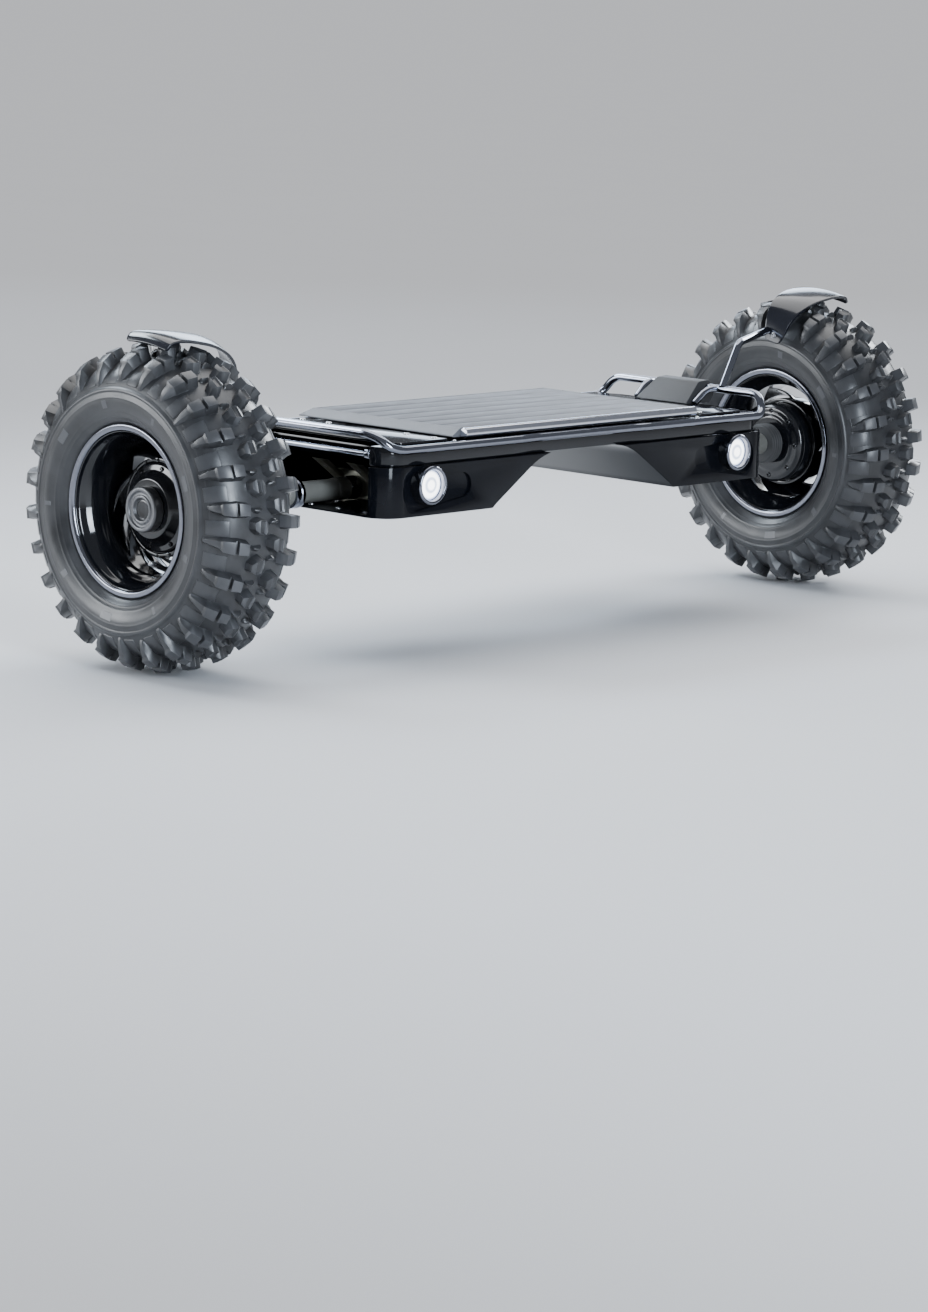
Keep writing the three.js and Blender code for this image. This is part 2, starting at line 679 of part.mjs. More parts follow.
// The hoop carries on from the side rails, climbs at the corners of the plate and crosses its end.
// Shoulder is where it stops climbing: x, set-back from the rail, height.
function endHoop(shoulder, bend) {
  const [start, corner] = [RAIL_JOINT_X + GAP / 2, HOOP_X - 9];
  const [x, back, z] = shoulder;
  const far = -RAIL_Y;
  return tube([
    [start, -far, RAIL_Z], [corner, -far, RAIL_Z], [x, back - far, z],
    [x, far - back, z], [corner, far, RAIL_Z], [start, far, RAIL_Z],
  ], bend, RAIL_RADIUS, HOOP_STEPS);
}

function rightHoop() {
  const inner = HOOP_X - 34;
  const leg = tube([
    [HOOP_X, -HOOP_LEG_Y, HOOP_Z], [HOOP_X - 16, 2 - HOOP_LEG_Y, HOOP_Z],
    [inner, 4 - HOOP_LEG_Y, WING_TOP + HOOP_LEG_RADIUS - 0.2],
  ], 8, HOOP_LEG_RADIUS, 6);
  return join(endHoop([HOOP_X, 14, HOOP_Z], 12), leg, mirrored(leg, 1, -1));
}

function leftHoop() {
  return endHoop([HOOP_X + 3, 17, LOW_HOOP_Z], 18);
}

function endRail() {
  const reach = NOTCH_HALF_DEPTH - GAP;
  return aboutY(0, END_RAIL_RADIUS, -reach, reach, 10)
    .translate(END_X - END_RAIL_RADIUS - 1, 0, PLATE_BOTTOM + 11);
}

function handleBlock() {
  const [foot, crest, halfFoot, halfCrest] = [WING_TOP + GAP, HOOP_Z + 8.5, 38, 31];
  const [inner, outer] = [HOOP_X - 43, HOOP_X + 8];
  const ramp = prism([
    [inner, foot], [outer - 9, foot], [outer, 234], [outer, crest - 4.5], [outer - 5, crest],
    [outer - 22, crest - 1],
  ], 'y', -halfFoot, halfFoot);
  const taper = prism([
    [-halfFoot, foot - PAST], [halfFoot, foot - PAST], [halfCrest, crest + 1.5],
    [-halfCrest, crest + 1.5],
  ], 'x', inner - PAST, outer + PAST);
  const hoopHole = aboutY(0, RAIL_RADIUS + GAP, -halfFoot - 5, halfFoot + 5, 10)
    .translate(HOOP_X, 0, HOOP_Z);
  return cut(common(ramp, taper), hoopHole);
}

// ---- fender ---------------------------------------------------------------------------------
function fender() {
  const last = FENDER_STATIONS.length - 1;
  const parts = [0, 0.25, 0.5, 0.75, 1];
  const rings = FENDER_STATIONS.map(([, , radius, rear], i) => {
    const before = FENDER_STATIONS[Math.max(i - 1, 0)];
    const after = FENDER_STATIONS[Math.min(i + 1, last)];
    const xAt = ([xRear, xFront], part) => xFront + part * (xRear - xFront);
    const at = (part, depth) => {
      const angle = THREE.MathUtils.degToRad(FENDER_FRONT + part * (rear - FENDER_FRONT));
      const run = new THREE.Vector2(xAt(after, part) - xAt(before, part), after[2] - before[2]);
      run.setLength(depth);
      const r = radius - run.x;
      const x = xAt(FENDER_STATIONS[i], part) + run.y;
      return new THREE.Vector3(x, r * Math.sin(angle), r * Math.cos(angle));
    };
    const outer = parts.map((part) => at(part, 0));
    const inner = parts.map((part) => at(part, FENDER_THICK)).reverse();
    return [...outer, ...inner];
  });
  return loft(rings);
}

// The right strut stands on top of the hoop, in front; the left one leaves the side of its lower
// hoop, behind. Both end at the inner face of the flange.
function rightStrut() {
  const top = HOOP_Z + RAIL_RADIUS;
  return tube([
    [HOOP_X + 1.5, -55, top + 2.8], [328, -48, 291], [416, -15, 298],
  ], 9, STRUT_RADIUS, STRUT_STEPS);
}

function leftStrut() {
  const beside = HOOP_X + 5 + RAIL_RADIUS + 2.2;
  return tube([
    [beside, 70, LOW_HOOP_Z], [352, 56, 260], [413.5, -17, 291],
  ], 9, STRUT_RADIUS, STRUT_STEPS);
}

// ---- deck -----------------------------------------------------------------------------------
function deckBorder() {
  const [long, deep] = [BOARD_HALF_LENGTH, BOARD_HALF_DEPTH];
  const tray = block(-long - 1, long + 1, -deep, deep + 1, DECK_BOTTOM, DECK_BOTTOM + TRAY);
  const lip = [[0, DECK_BOTTOM], [BEVEL_RUN, DECK_BOTTOM], [BEVEL_RUN, DECK_BOTTOM + 1.5],
    [2, DECK_TOP], [0, DECK_TOP]];
  const inner = GAP;
  const endBevel = prism(lip.map(([a, z]) => [long + inner + a, z]), 'y',
    -deep, deep + BEVEL_RUN);
  const rearBevel = prism(lip.map(([a, z]) => [deep + inner + a, z]), 'x',
    -long - BEVEL_RUN, long + BEVEL_RUN);
  const mitre = [
    [-long - BEVEL_RUN - inner, -deep], [long + BEVEL_RUN + inner, -deep],
    [long + BEVEL_RUN + inner, deep + BEVEL_RUN + inner],
    [-long - BEVEL_RUN - inner, deep + BEVEL_RUN + inner],
  ];
  const rim = common(
    join(endBevel, mirrored(endBevel), rearBevel), prism(mitre, 'z', DECK_BOTTOM, DECK_TOP));
  const posts = deckPosts().map(([x, y]) => (
    post(x, y, DECK_POST_RADIUS, PLATE_TOP - 8, DECK_BOTTOM + 1)));
  return join(tray, rim, ...posts);
}

function deckBoard() {
  const [long, deep] = [BOARD_HALF_LENGTH, BOARD_HALF_DEPTH];
  const board = block(-long, long, -deep, deep, DECK_BOTTOM + TRAY + GAP, DECK_TOP);
  const grooves = [];
  for (let k = 1; k < SLATS; k += 1) {
    const y = -deep + (2 * deep * k) / SLATS;
    grooves.push(block(-long - PAST, long + PAST, y - GROOVE / 2, y + GROOVE / 2,
      DECK_TOP - GROOVE_DEPTH, DECK_TOP + PAST));
  }
  return cut(board, ...grooves);
}

function deckFrontRail() {
  const reach = BOARD_HALF_LENGTH + 3;
  const r = DECK_RAIL_RADIUS;
  return ring(0, r, -reach, reach, 14)
    .translate(0, -BOARD_HALF_DEPTH - r - GAP, DECK_TOP + 0.7 - r);
}

// ---- rear controls --------------------------------------------------------------------------
function powerButton() {
  return turnedAboutY([
    [0, 114], [BUTTON_RADIUS + 2, 114], [BUTTON_RADIUS + 2, 116.6], [BUTTON_RADIUS, 116.6],
    [BUTTON_RADIUS, 124], [BUTTON_RADIUS - 1, 125], [0, 125],
  ], ROUND).translate(BUTTON_X, 0, CONTROL_Z);
}

function chargeSocket() {
  const [wide, face, bottom] = [SOCKET_RADIUS + 2, POD_HALF_DEPTH + 1.6, 110];
  return turnedAboutY([
    [0, 104], [SOCKET_RADIUS, 104], [SOCKET_RADIUS, POD_HALF_DEPTH + GAP],
    [wide, POD_HALF_DEPTH + GAP], [wide, face], [SOCKET_BORE, face], [SOCKET_BORE, bottom],
    [0, bottom],
  ], ROUND).translate(CHARGE_X, 0, CONTROL_Z);
}

function chargeCap() {
  const [near, far, radius] = [POD_HALF_DEPTH + 2, POD_HALF_DEPTH + 5, 12];
  const disc = aboutY(0, radius, near, far, ROUND).translate(CHARGE_X, 0, CONTROL_Z);
  const tab = block(CHARGE_X - 4, CHARGE_X + 4, near, far, CONTROL_Z + 8, CAP_HINGE_Z);
  const barrel = ring(0, 2, -6, 6, 10).translate(CHARGE_X, CAP_HINGE_Y, CAP_HINGE_Z);
  return join(disc, tab, barrel);
}

// ---- assembly -------------------------------------------------------------------------------
const part = new THREE.Group();

function add(parent, name, geometry, material) {
  const mesh = new THREE.Mesh(closed(geometry), material());
  mesh.name = name;
  parent.add(mesh);
}

function addEnd(end, sign) {
  const facing = (geometry) => (sign < 0 ? mirrored(geometry) : geometry);
  const wheel = new THREE.Group();
  wheel.position.set(sign * WHEEL_X, 0, TYRE_RADIUS);
  const axle = new THREE.Group();
  axle.position.z = TYRE_RADIUS;
  const frame = new THREE.Group();
  part.add(wheel, axle, frame);

  add(wheel, `${end}_tyre`, facing(tyre()), rubber);
  add(wheel, `${end}_rim`, facing(rim()), glossBlack);
  add(wheel, `${end}_motor_shell`, facing(motorShell()), glossBlack);
  add(wheel, `${end}_motor_cover`, facing(motorCover()), glossBlack);
  add(wheel, `${end}_hub_cap`, facing(hubCap()), castGrey);
  add(wheel, `${end}_outer_bearing`, facing(bearing(5, MOTOR_OUTBOARD - 1)), steel);
  add(wheel, `${end}_inner_bearing`, facing(bearing(MOTOR_INBOARD, COVER_JOINT - 1)), steel);
  const magnets = ring(MAGNET_INNER, SHELL_INNER - 0.5, -33, -5, ROUND);
  add(wheel, `${end}_magnet_ring`, facing(magnets), steel);

  add(axle, `${end}_axle_shaft`, facing(ring(0, AXLE_RADIUS, AXLE_START, AXLE_END, ROUND)), steel);
  add(axle, `${end}_stator`, facing(stator().translate(WHEEL_X, 0, 0)), copper);
  add(axle, `${end}_axle_nut`, facing(axleNut()), steel);
  add(axle, `${end}_axle_boot`, facing(axleBoot()), rubber);
  add(axle, `${end}_axle_sleeve`, facing(axleSleeve()), castGrey);
  add(axle, `${end}_axle_knob`, facing(axleKnob()), glossBlack);
  add(axle, `${end}_axle_clamp`, facing(axleClamp()), satinBlack);
  add(axle, `${end}_axle_yoke`, facing(axleYoke()), castGrey);
  add(axle, `${end}_fender`, facing(fender()), glossBlack);

  add(frame, `${end}_pod`, sign < 0 ? mirrored(pod()) : rightPod(), glossBlack);
  add(frame, `${end}_battery`, facing(battery()), satinBlack);
  add(frame, `${end}_light_housing`, facing(lightHousing()), polished);
  add(frame, `${end}_light_lens`, facing(lightLens()), lampWhite);
  add(frame, `${end}_hoop`, sign < 0 ? mirrored(leftHoop()) : rightHoop(), polished);
  add(frame, `${end}_end_rail`, facing(endRail()), polished);
  const strut = sign < 0 ? mirrored(leftStrut()) : rightStrut();
  add(frame, `${end}_fender_strut`, strut, polished);
}

addEnd('left', -1);
addEnd('right', 1);
add(part, 'right_handle_block', handleBlock(), satinBlack);
add(part, 'chassis_plate', chassisPlate(), glossBlack);
add(part, 'control_board', block(-BOARD_LENGTH / 2, BOARD_LENGTH / 2, -BOARD_DEPTH / 2,
  BOARD_DEPTH / 2, PLATE_BOTTOM + 8, PLATE_TOP - 6), green);
add(part, 'front_rail', sideRail(), polished);
add(part, 'rear_rail', mirrored(sideRail(), 1, -1), polished);
add(part, 'deck_border', deckBorder(), satinBlack);
add(part, 'deck_board', deckBoard(), slatGrey);
add(part, 'deck_front_rail', deckFrontRail(), polished);
add(part, 'power_button', powerButton(), satinBlack);
add(part, 'charge_socket', chargeSocket(), satinBlack);
add(part, 'charge_cap', chargeCap(), rubber);

export default part;
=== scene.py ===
import math

import bmesh
import bpy
from mathutils import Matrix, Vector


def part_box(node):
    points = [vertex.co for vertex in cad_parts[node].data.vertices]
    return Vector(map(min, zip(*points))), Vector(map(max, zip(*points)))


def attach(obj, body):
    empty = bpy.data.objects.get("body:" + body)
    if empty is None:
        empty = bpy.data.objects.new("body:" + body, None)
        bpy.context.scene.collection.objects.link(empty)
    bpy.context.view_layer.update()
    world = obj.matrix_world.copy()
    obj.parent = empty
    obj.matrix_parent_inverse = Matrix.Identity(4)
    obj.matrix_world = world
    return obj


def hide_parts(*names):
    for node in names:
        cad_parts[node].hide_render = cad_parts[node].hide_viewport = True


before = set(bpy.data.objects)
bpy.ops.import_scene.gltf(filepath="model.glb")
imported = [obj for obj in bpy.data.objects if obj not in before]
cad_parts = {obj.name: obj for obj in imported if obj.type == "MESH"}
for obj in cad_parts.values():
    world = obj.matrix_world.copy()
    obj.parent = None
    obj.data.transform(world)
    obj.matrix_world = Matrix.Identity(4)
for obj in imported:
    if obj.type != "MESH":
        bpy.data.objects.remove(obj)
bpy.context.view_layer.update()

# An off-road self-balancing board: two knobbly wheels on one axle line and a low chassis between
# them. X runs along the axle, the front is -Y and Z is up. Meshes are drawn in millimetres, for the
# right end (+X), and make() scales them to metres and mirrors them for the left end.
MM = 0.001
ENDS = {"left": -1, "right": 1}


def corners(node):
    """The lowest and highest corner of a CAD node, in millimetres."""
    low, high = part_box(node)
    return low / MM, high / MM


def middle(node):
    """The middle of a CAD node's box, in millimetres."""
    low, high = corners(node)
    return tuple((a + b) / 2 for a, b in zip(low, high))


# ---- sizes taken from the frame ---------------------------------------------------------------
WHEEL_X, _, AXLE_Z = middle("right_tyre")
TYRE_RADIUS = AXLE_Z - corners("right_tyre")[0].z
board_low, board_high = corners("deck_board")
plate_low, plate_high = corners("chassis_plate")
lens_low, lens_high = corners("right_light_lens")
LIGHT_X, _, LIGHT_Z = middle("right_light_lens")
LENS_RADIUS = (lens_high.x - lens_low.x) / 2


# ---- mesh helpers -----------------------------------------------------------------------------
def rounded(points, radius, steps=4, closed=False):
    """The line through the points with each corner replaced by a short curve."""
    count = len(points)
    places = range(count) if closed else range(1, count - 1)
    line = [] if closed else [Vector(points[0])]
    for i in places:
        before, corner, after = (Vector(points[j % count]) for j in (i - 1, i, i + 1))
        back, ahead = before - corner, after - corner
        start = corner + back.normalized() * min(radius, back.length * 0.48)
        end = corner + ahead.normalized() * min(radius, ahead.length * 0.48)
        for k in range(steps + 1):
            t = k / steps
            line.append(start * (1 - t) ** 2 + corner * 2 * t * (1 - t) + end * t * t)
    if not closed:
        line.append(Vector(points[-1]))
    return line


def spline(points, per_span):
    """A smooth curve through the points."""
    guide = [Vector(p) for p in points]
    guide = [guide[0] * 2 - guide[1], *guide, guide[-1] * 2 - guide[-2]]
    line = []
    for a, b, c, d in zip(guide, guide[1:], guide[2:], guide[3:]):
        for k in range(per_span):
            t = k / per_span
            line.append(0.5 * (2 * b + (c - a) * t + (2 * a - 5 * b + 4 * c - d) * t * t
                               + (3 * b - a - 3 * c + d) * t ** 3))
    line.append(guide[-2])
    return line


def arc(x, y, radius, start, sweep, count):
    """Points along an arc about (x, y), from the angle start through the angle sweep."""
    return [(x + radius * math.cos(a), y + radius * math.sin(a))
            for a in (start + sweep * k / count for k in range(count + 1))]


def skin(rings, capped=True):
    """A mesh of faces between neighbouring rings of points. A ring of one point is a tip."""
    bm = bmesh.new()
    made = [[bm.verts.new(p) for p in ring] for ring in rings]
    for a, b in zip(made, made[1:]):
        count = max(len(a), len(b))
        for k in range(count):
            n = (k + 1) % count
            face = [a[k % len(a)], a[n % len(a)], b[n % len(b)], b[k % len(b)]]
            face = list(dict.fromkeys(face))
            if len(face) > 2:
                bm.faces.new(face)
    if capped:
        for ring in (made[0], made[-1]):
            if len(ring) > 2:
                bm.faces.new(ring)
    return bm


def turned(profile, segments=96, axis="X", centre=(0, 0, 0), closed=False, rounding=0, steps=3):
    """A piece turned about an axis through centre. The profile is (along, radius)."""
    if rounding:
        profile = rounded(profile, rounding, steps, closed)
    first, second = {"X": ((0, 1, 0), (0, 0, 1)), "Y": ((0, 0, 1), (1, 0, 0)),
                     "Z": ((1, 0, 0), (0, 1, 0))}[axis]
    first, second = Vector(first), Vector(second)
    along_axis = first.cross(second)
    rings = []
    for along, radius in profile:
        on_axis = Vector(centre) + along_axis * along
        if radius < 1e-4:
            rings.append([on_axis])
            continue
        rings.append([on_axis + (first * math.cos(a) + second * math.sin(a)) * radius
                      for a in (2 * math.pi * k / segments for k in range(segments))])
    if closed:
        rings.append(rings[0])
    bm = skin(rings, capped=not closed)
    bmesh.ops.remove_doubles(bm, verts=bm.verts, dist=1e-4)
    return bm


def rod(start, end, radius, segments=48, axis="X", centre=(0, 0, 0), rounding=0, steps=3):
    """A plain cylinder along an axis."""
    profile = [(start, 0), (start, radius), (end, radius), (end, 0)]
    return turned(profile, segments, axis, centre, rounding=rounding, steps=steps)


def bar(path, radius, sides=20, chamfer=0.6):
    """A round bar along a line of points, with flat chamfered ends."""
    path = [Vector(p) for p in path]
    tangents = [(path[min(i + 1, len(path) - 1)] - path[max(i - 1, 0)]).normalized()
                for i in range(len(path))]
    across = tangents[0].orthogonal().normalized()
    rings = []

    def ring(place, tangent, size):
        up = tangent.cross(across)
        return [place + (across * math.cos(a) + up * math.sin(a)) * size
                for a in (2 * math.pi * k / sides for k in range(sides))]

    for i, (point, tangent) in enumerate(zip(path, tangents)):
        across = (across - tangent * across.dot(tangent)).normalized()
        if i == 0:
            rings.append(ring(point, tangent, radius - chamfer))
            rings.append(ring(point + tangent * chamfer, tangent, radius))
        elif i == len(path) - 1:
            rings.append(ring(point - tangent * chamfer, tangent, radius))
            rings.append(ring(point, tangent, radius - chamfer))
        else:
            rings.append(ring(point, tangent, radius))
    return skin(rings)


def prism(outline, axis, start, end):
    """An outline drawn along an axis. It is (y, z), (x, z) or (x, y) for axis X, Y or Z."""
    place = {"X": lambda a, b, c: (c, a, b), "Y": lambda a, b, c: (a, c, b),
             "Z": lambda a, b, c: (a, b, c)}[axis]
    return skin([[place(a, b, c) for a, b in outline] for c in (start, end)])


def cuboid(low, high):
    outline = [(low[0], low[1]), (high[0], low[1]), (high[0], high[1]), (low[0], high[1])]
    return prism(outline, "Z", low[2], high[2])


def bevelled(bm, width, segments=2, angle=30):
    """Rounds every edge that turns by more than the angle."""
    bmesh.ops.recalc_face_normals(bm, faces=bm.faces)
    limit = math.radians(angle)
    sharp = [e for e in bm.edges if len(e.link_faces) == 2 and e.calc_face_angle(0) > limit]
    bmesh.ops.bevel(bm, geom=sharp, offset=width, segments=segments, profile=0.5,
                    affect="EDGES", clamp_overlap=True)
    return bm


def stored(name, bm):
    """The drawn mesh as a mesh that Blender keeps."""
    mesh = bpy.data.meshes.new(name)
    bm.to_mesh(mesh)
    bm.free()
    return mesh


def placed(name, data):
    """A new object in the scene."""
    thing = bpy.data.objects.new(name, data)
    bpy.context.scene.collection.objects.link(thing)
    return thing


def solid(name, bm):
    """The drawn mesh as an object with its faces turned outwards."""
    bmesh.ops.recalc_face_normals(bm, faces=bm.faces)
    return placed(name, stored(name, bm))


def join(first, *rest):
    """All the meshes as one."""
    for bm in rest:
        scratch = stored("scratch", bm)
        first.from_mesh(scratch)
        bpy.data.meshes.remove(scratch)
    return first


def cut(bm, *tools):
    """The mesh with the tools' shapes taken out of it."""
    body = solid("body", bm)
    cutters = [solid("cutter", tool) for tool in tools]
    for cutter in cutters:
        modifier = body.modifiers.new("cut", "BOOLEAN")
        modifier.operation = "DIFFERENCE"
        modifier.solver = "EXACT"
        modifier.object = cutter
    ready = body.evaluated_get(bpy.context.evaluated_depsgraph_get())
    result = bmesh.new()
    result.from_mesh(ready.to_mesh())
    ready.to_mesh_clear()
    for thing in (body, *cutters):
        bpy.data.meshes.remove(thing.data)
    bmesh.ops.remove_doubles(result, verts=result.verts, dist=1e-3)
    bmesh.ops.dissolve_limit(result, angle_limit=math.radians(0.5), verts=result.verts,
                             edges=result.edges)
    return result


def moved(bm, offset=(0, 0, 0), turn=0.0, axis="X"):
    """The mesh turned about an axis through the origin, then shifted."""
    bm.transform(Matrix.Translation(offset) @ Matrix.Rotation(turn, 4, axis))
    return bm


def screw(place, axis, radius=3.2, height=1.8, sides=6):
    """A button-head screw with a hexagon socket. Its head stands along the axis."""
    direction = Vector(axis).normalized()
    head = rounded([(0, radius), (height * 0.55, radius), (height, radius * 0.62)], 0.8, 3)
    socket = [(height, radius * 0.45), (height * 0.3, radius * 0.45), (height * 0.3, 0)]
    bm = turned([(-1, 0), (-1, radius), *head, *socket], segments=sides * 3, axis="Z")
    bm.transform(Matrix.Translation(place) @ direction.to_track_quat("Z", "Y").to_matrix().to_4x4())
    return bm


def around(count, make_one, start=0.0):
    """Copies of a mesh spread evenly round the X axis."""
    return join(*(moved(make_one(), turn=start + 2 * math.pi * k / count) for k in range(count)))


def make(name, bm, body, material, cad="", side=1, crease=32):
    """Turns a drawn mesh into a piece of the object: millimetres to metres, shaded and riding.

    cad names the CAD node that the piece replaces."""
    bm.transform(Matrix.Diagonal((side * MM, MM, MM, 1)))
    piece = solid(name, bm)
    piece.data.shade_smooth()
    piece.data.set_sharp_from_angle(angle=math.radians(crease))
    piece.data.materials.append(material)
    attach(piece, body)
    if cad:
        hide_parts(cad)


def make_end(end, name, bm, material, cad="", body="chassis", crease=32):
    """A piece that both ends have, drawn for the right one."""
    node = f"{end}_{cad}" if cad else ""
    make(f"{end}_{name}", bm, body, material, node, ENDS[end], crease)


def make_wheel(end, name, bm, material, cad=""):
    """A piece of one wheel, drawn about the wheel's middle, with +X outboard."""
    make_end(end, name, moved(bm, (WHEEL_X, 0, AXLE_Z)), material, cad, f"{end}_wheel")


def at_axle(bm):
    """Puts a mesh that is drawn about the axle in its place."""
    return moved(bm, (0, 0, AXLE_Z))


# ---- materials --------------------------------------------------------------------------------
class Nodes:
    """A material's node tree with short calls for the nodes used here."""

    def __init__(self, name):
        self.material = bpy.data.materials.new(name)
        self.material.use_nodes = True
        self.tree = self.material.node_tree
        self.shader = self.tree.nodes["Principled BSDF"]
        self.place = self.add("ShaderNodeTexCoord").outputs["Object"]

    def feed(self, target, value):
        """Links a socket to an input, or sets the input to a value or a colour."""
        if isinstance(value, bpy.types.NodeSocket):
            self.tree.links.new(value, target)
        elif target.type == "RGBA":
            target.default_value = (*value, 1)
        else:
            target.default_value = value

    def add(self, kind, inputs=None, **settings):
        """A node with its settings, and with a value or a socket for each input named."""
        node = self.tree.nodes.new(kind)
        for key, value in settings.items():
            setattr(node, key, value)
        for key, value in (inputs or {}).items():
            self.feed(node.inputs[key], value)
        return node

    def mapped(self, **inputs):
        """Object coordinates moved or scaled by axis, for a grain that runs one way."""
        return self.add("ShaderNodeMapping", {"Vector": self.place, **inputs}).outputs["Vector"]

    def noise(self, scale, detail=4.0, roughness=0.55, stretch=None):
        """Noise, finer along the axes that have the larger stretch."""
        vector = self.mapped(Scale=stretch) if stretch else self.place
        return self.add("ShaderNodeTexNoise", {
            "Scale": scale, "Detail": detail, "Roughness": roughness, "Vector": vector,
        }).outputs["Fac"]

    def ramp(self, source, stops):
        """A colour ramp; stops are (position, colour)."""
        node = self.add("ShaderNodeValToRGB", {"Fac": source})
        elements = node.color_ramp.elements
        while len(elements) < len(stops):
            elements.new(0.5)
        for element, (position, colour) in zip(elements, stops):
            element.position = position
            element.color = (*colour, 1)
        return node.outputs["Color"]

    def spread(self, source, low=0, high=1, from_low=0.3, from_high=0.7):
        """The source's range from from_low to from_high, laid out from low to high."""
        return self.add("ShaderNodeMapRange", {
            "Value": source, "From Min": from_low, "From Max": from_high, "To Min": low,
            "To Max": high,
        }).outputs["Result"]

    def mixed(self, fac, first, second):
        """Two colours, or a socket and a colour, mixed by a factor."""
        return self.add("ShaderNodeMix", {"Factor": fac, "A": first, "B": second},
                        data_type="RGBA").outputs["Result"]

    def worn(self, colour, low, high, edge_colour):
        """The colour with another one along its outward edges."""
        pointed = self.add("ShaderNodeNewGeometry").outputs["Pointiness"]
        return self.mixed(self.spread(pointed, 0, 1, low, high), colour, edge_colour)

    def bumped(self, height, strength, distance=0.0004):
        node = self.add("ShaderNodeBump",
                        {"Strength": strength, "Distance": distance, "Height": height})
        self.set(Normal=node.outputs["Normal"])

    def set(self, **values):
        """Values or sockets for the shader's inputs, named with _ for a space."""
        for key, value in values.items():
            self.feed(self.shader.inputs[key.replace("_", " ")], value)
        return self.material


def shade(colour, factor, lift=0.0):
    """The colour made paler or darker."""
    return tuple(min(1, c * factor + lift) for c in colour)


def rubber(name, dark, light, roughness, grain=1400, sheen=0.0):
    """Moulded rubber: a fine pebbled skin, paler along its edges and dusty in places."""
    n = Nodes(name)
    dust = n.noise(38, 6)
    worn = n.worn(n.mixed(n.spread(dust), dark, light), 0.51, 0.62, shade(light, 1.9))
    n.bumped(n.noise(grain, 3), 0.22, 0.00025)
    return n.set(Base_Color=worn, Roughness=n.spread(dust, roughness - 0.07, roughness + 0.09),
                 Specular_IOR_Level=0.5, Coat_Weight=sheen, Coat_Roughness=0.3)


def gloss(name, colour, roughness, shine=0.5, coat=0.25):
    """Deep gloss paint: a faint orange peel under a clear coat, with wiped marks in the shine."""
    n = Nodes(name)
    wiped = n.noise(9, 5, 0.65, (1.0, 2.2, 1.4))
    tint = n.mixed(n.spread(n.noise(26, 3)), colour, shade(colour, 1.5, 0.001))
    n.bumped(n.noise(420, 2), 0.035, 0.0003)
    return n.set(Base_Color=tint, Roughness=n.spread(wiped, roughness, roughness + 0.1),
                 Coat_Weight=coat, Coat_Roughness=0.02, Specular_IOR_Level=shine)


def metal(name, colour, roughness, marks=0.01, grain=260):
    """Bare metal with a fine grain and brighter edges."""
    n = Nodes(name)
    lines = n.noise(grain, 5, 0.6)
    tint = n.mixed(n.spread(lines), shade(colour, 0.86), colour)
    worn = n.worn(tint, 0.52, 0.66, shade(colour, 1.35))
    n.bumped(lines, marks, 0.0002)
    return n.set(Base_Color=worn, Metallic=1.0,
                 Roughness=n.spread(lines, roughness * 0.8, roughness * 1.25))


def textured(name, colour, roughness, grain, depth, metallic=0.0):
    """A cast or powder-coated surface with a visible tooth."""
    n = Nodes(name)
    tooth = n.noise(grain, 4, 0.6)
    tint = n.mixed(n.spread(n.noise(30, 4)), shade(colour, 0.78), colour)
    worn = n.worn(tint, 0.52, 0.64, shade(colour, 1.8, 0.01))
    n.bumped(tooth, depth, 0.0003)
    return n.set(Base_Color=worn, Metallic=metallic,
                 Roughness=n.spread(tooth, roughness - 0.08, roughness + 0.1))


def slat_finish(name, colour):
    """Satin boards: fine grain along X, each board a little different from the next."""
    n = Nodes(name)
    grain = n.noise(95, 8, 0.7, (0.35, 14.0, 6.0))
    scuffs = n.noise(22, 6, 0.6, (1.0, 2.5, 1.0))
    board = n.noise(1, 0, 0.5, (0.0, 31.0, 0.0))
    tint = n.mixed(n.spread(grain), shade(colour, 0.72), colour)
    tint = n.mixed(n.spread(board, 0, 0.6), tint, shade(colour, 1.18))
    worn = n.worn(tint, 0.52, 0.62, shade(colour, 1.7))
    n.bumped(grain, 0.16, 0.0003)
    return n.set(Base_Color=worn, Metallic=0.2, Roughness=n.spread(scuffs, 0.46, 0.62))


def windings(name):
    """Enamelled copper wire, wound round the teeth."""
    n = Nodes(name)
    wave = n.add("ShaderNodeTexWave", {"Scale": 260, "Vector": n.place}, bands_direction="X")
    turns = wave.outputs["Fac"]
    tint = n.mixed(turns, (0.28, 0.09, 0.03), (0.72, 0.3, 0.12))
    n.bumped(turns, 0.4)
    return n.set(Base_Color=tint, Metallic=1.0, Roughness=0.3)


def circuit(name):
    """A lacquered board with lighter traces."""
    n = Nodes(name)
    brick = n.add("ShaderNodeTexBrick", {
        "Scale": 60, "Vector": n.place, "Color1": (0.01, 0.07, 0.025),
        "Color2": (0.012, 0.09, 0.03), "Mortar": (0.09, 0.2, 0.08)})
    return n.set(Base_Color=brick.outputs["Color"], Roughness=n.spread(n.noise(80), 0.3, 0.5))


def lamp_glow(name, centre, radius):
    """The lit face of a lamp: a bright disc, a finer ring inside it and a cooler edge."""
    n = Nodes(name)
    flat = n.add("ShaderNodeVectorMath", {
        0: n.mapped(Location=tuple(-c for c in centre)), 1: (1 / radius, 0, 1 / radius),
    }, operation="MULTIPLY")
    length = n.add("ShaderNodeVectorMath", {0: flat.outputs["Vector"]}, operation="LENGTH")
    glow = n.ramp(length.outputs["Value"], [
        (0.0, (1, 1, 1)), (0.28, (1, 1, 1)), (0.4, (0.2, 0.24, 0.34)), (0.5, (0.24, 0.28, 0.38)),
        (0.6, (1, 1, 1)), (0.82, (0.95, 0.97, 1)), (0.96, (0.12, 0.16, 0.28))])
    facets = n.noise(900, 2)
    n.bumped(facets, 0.1)
    return n.set(Base_Color=(0.8, 0.82, 0.86), Roughness=n.spread(facets, 0.05, 0.15),
                 Coat_Weight=1.0, Emission_Color=glow, Emission_Strength=5.0)


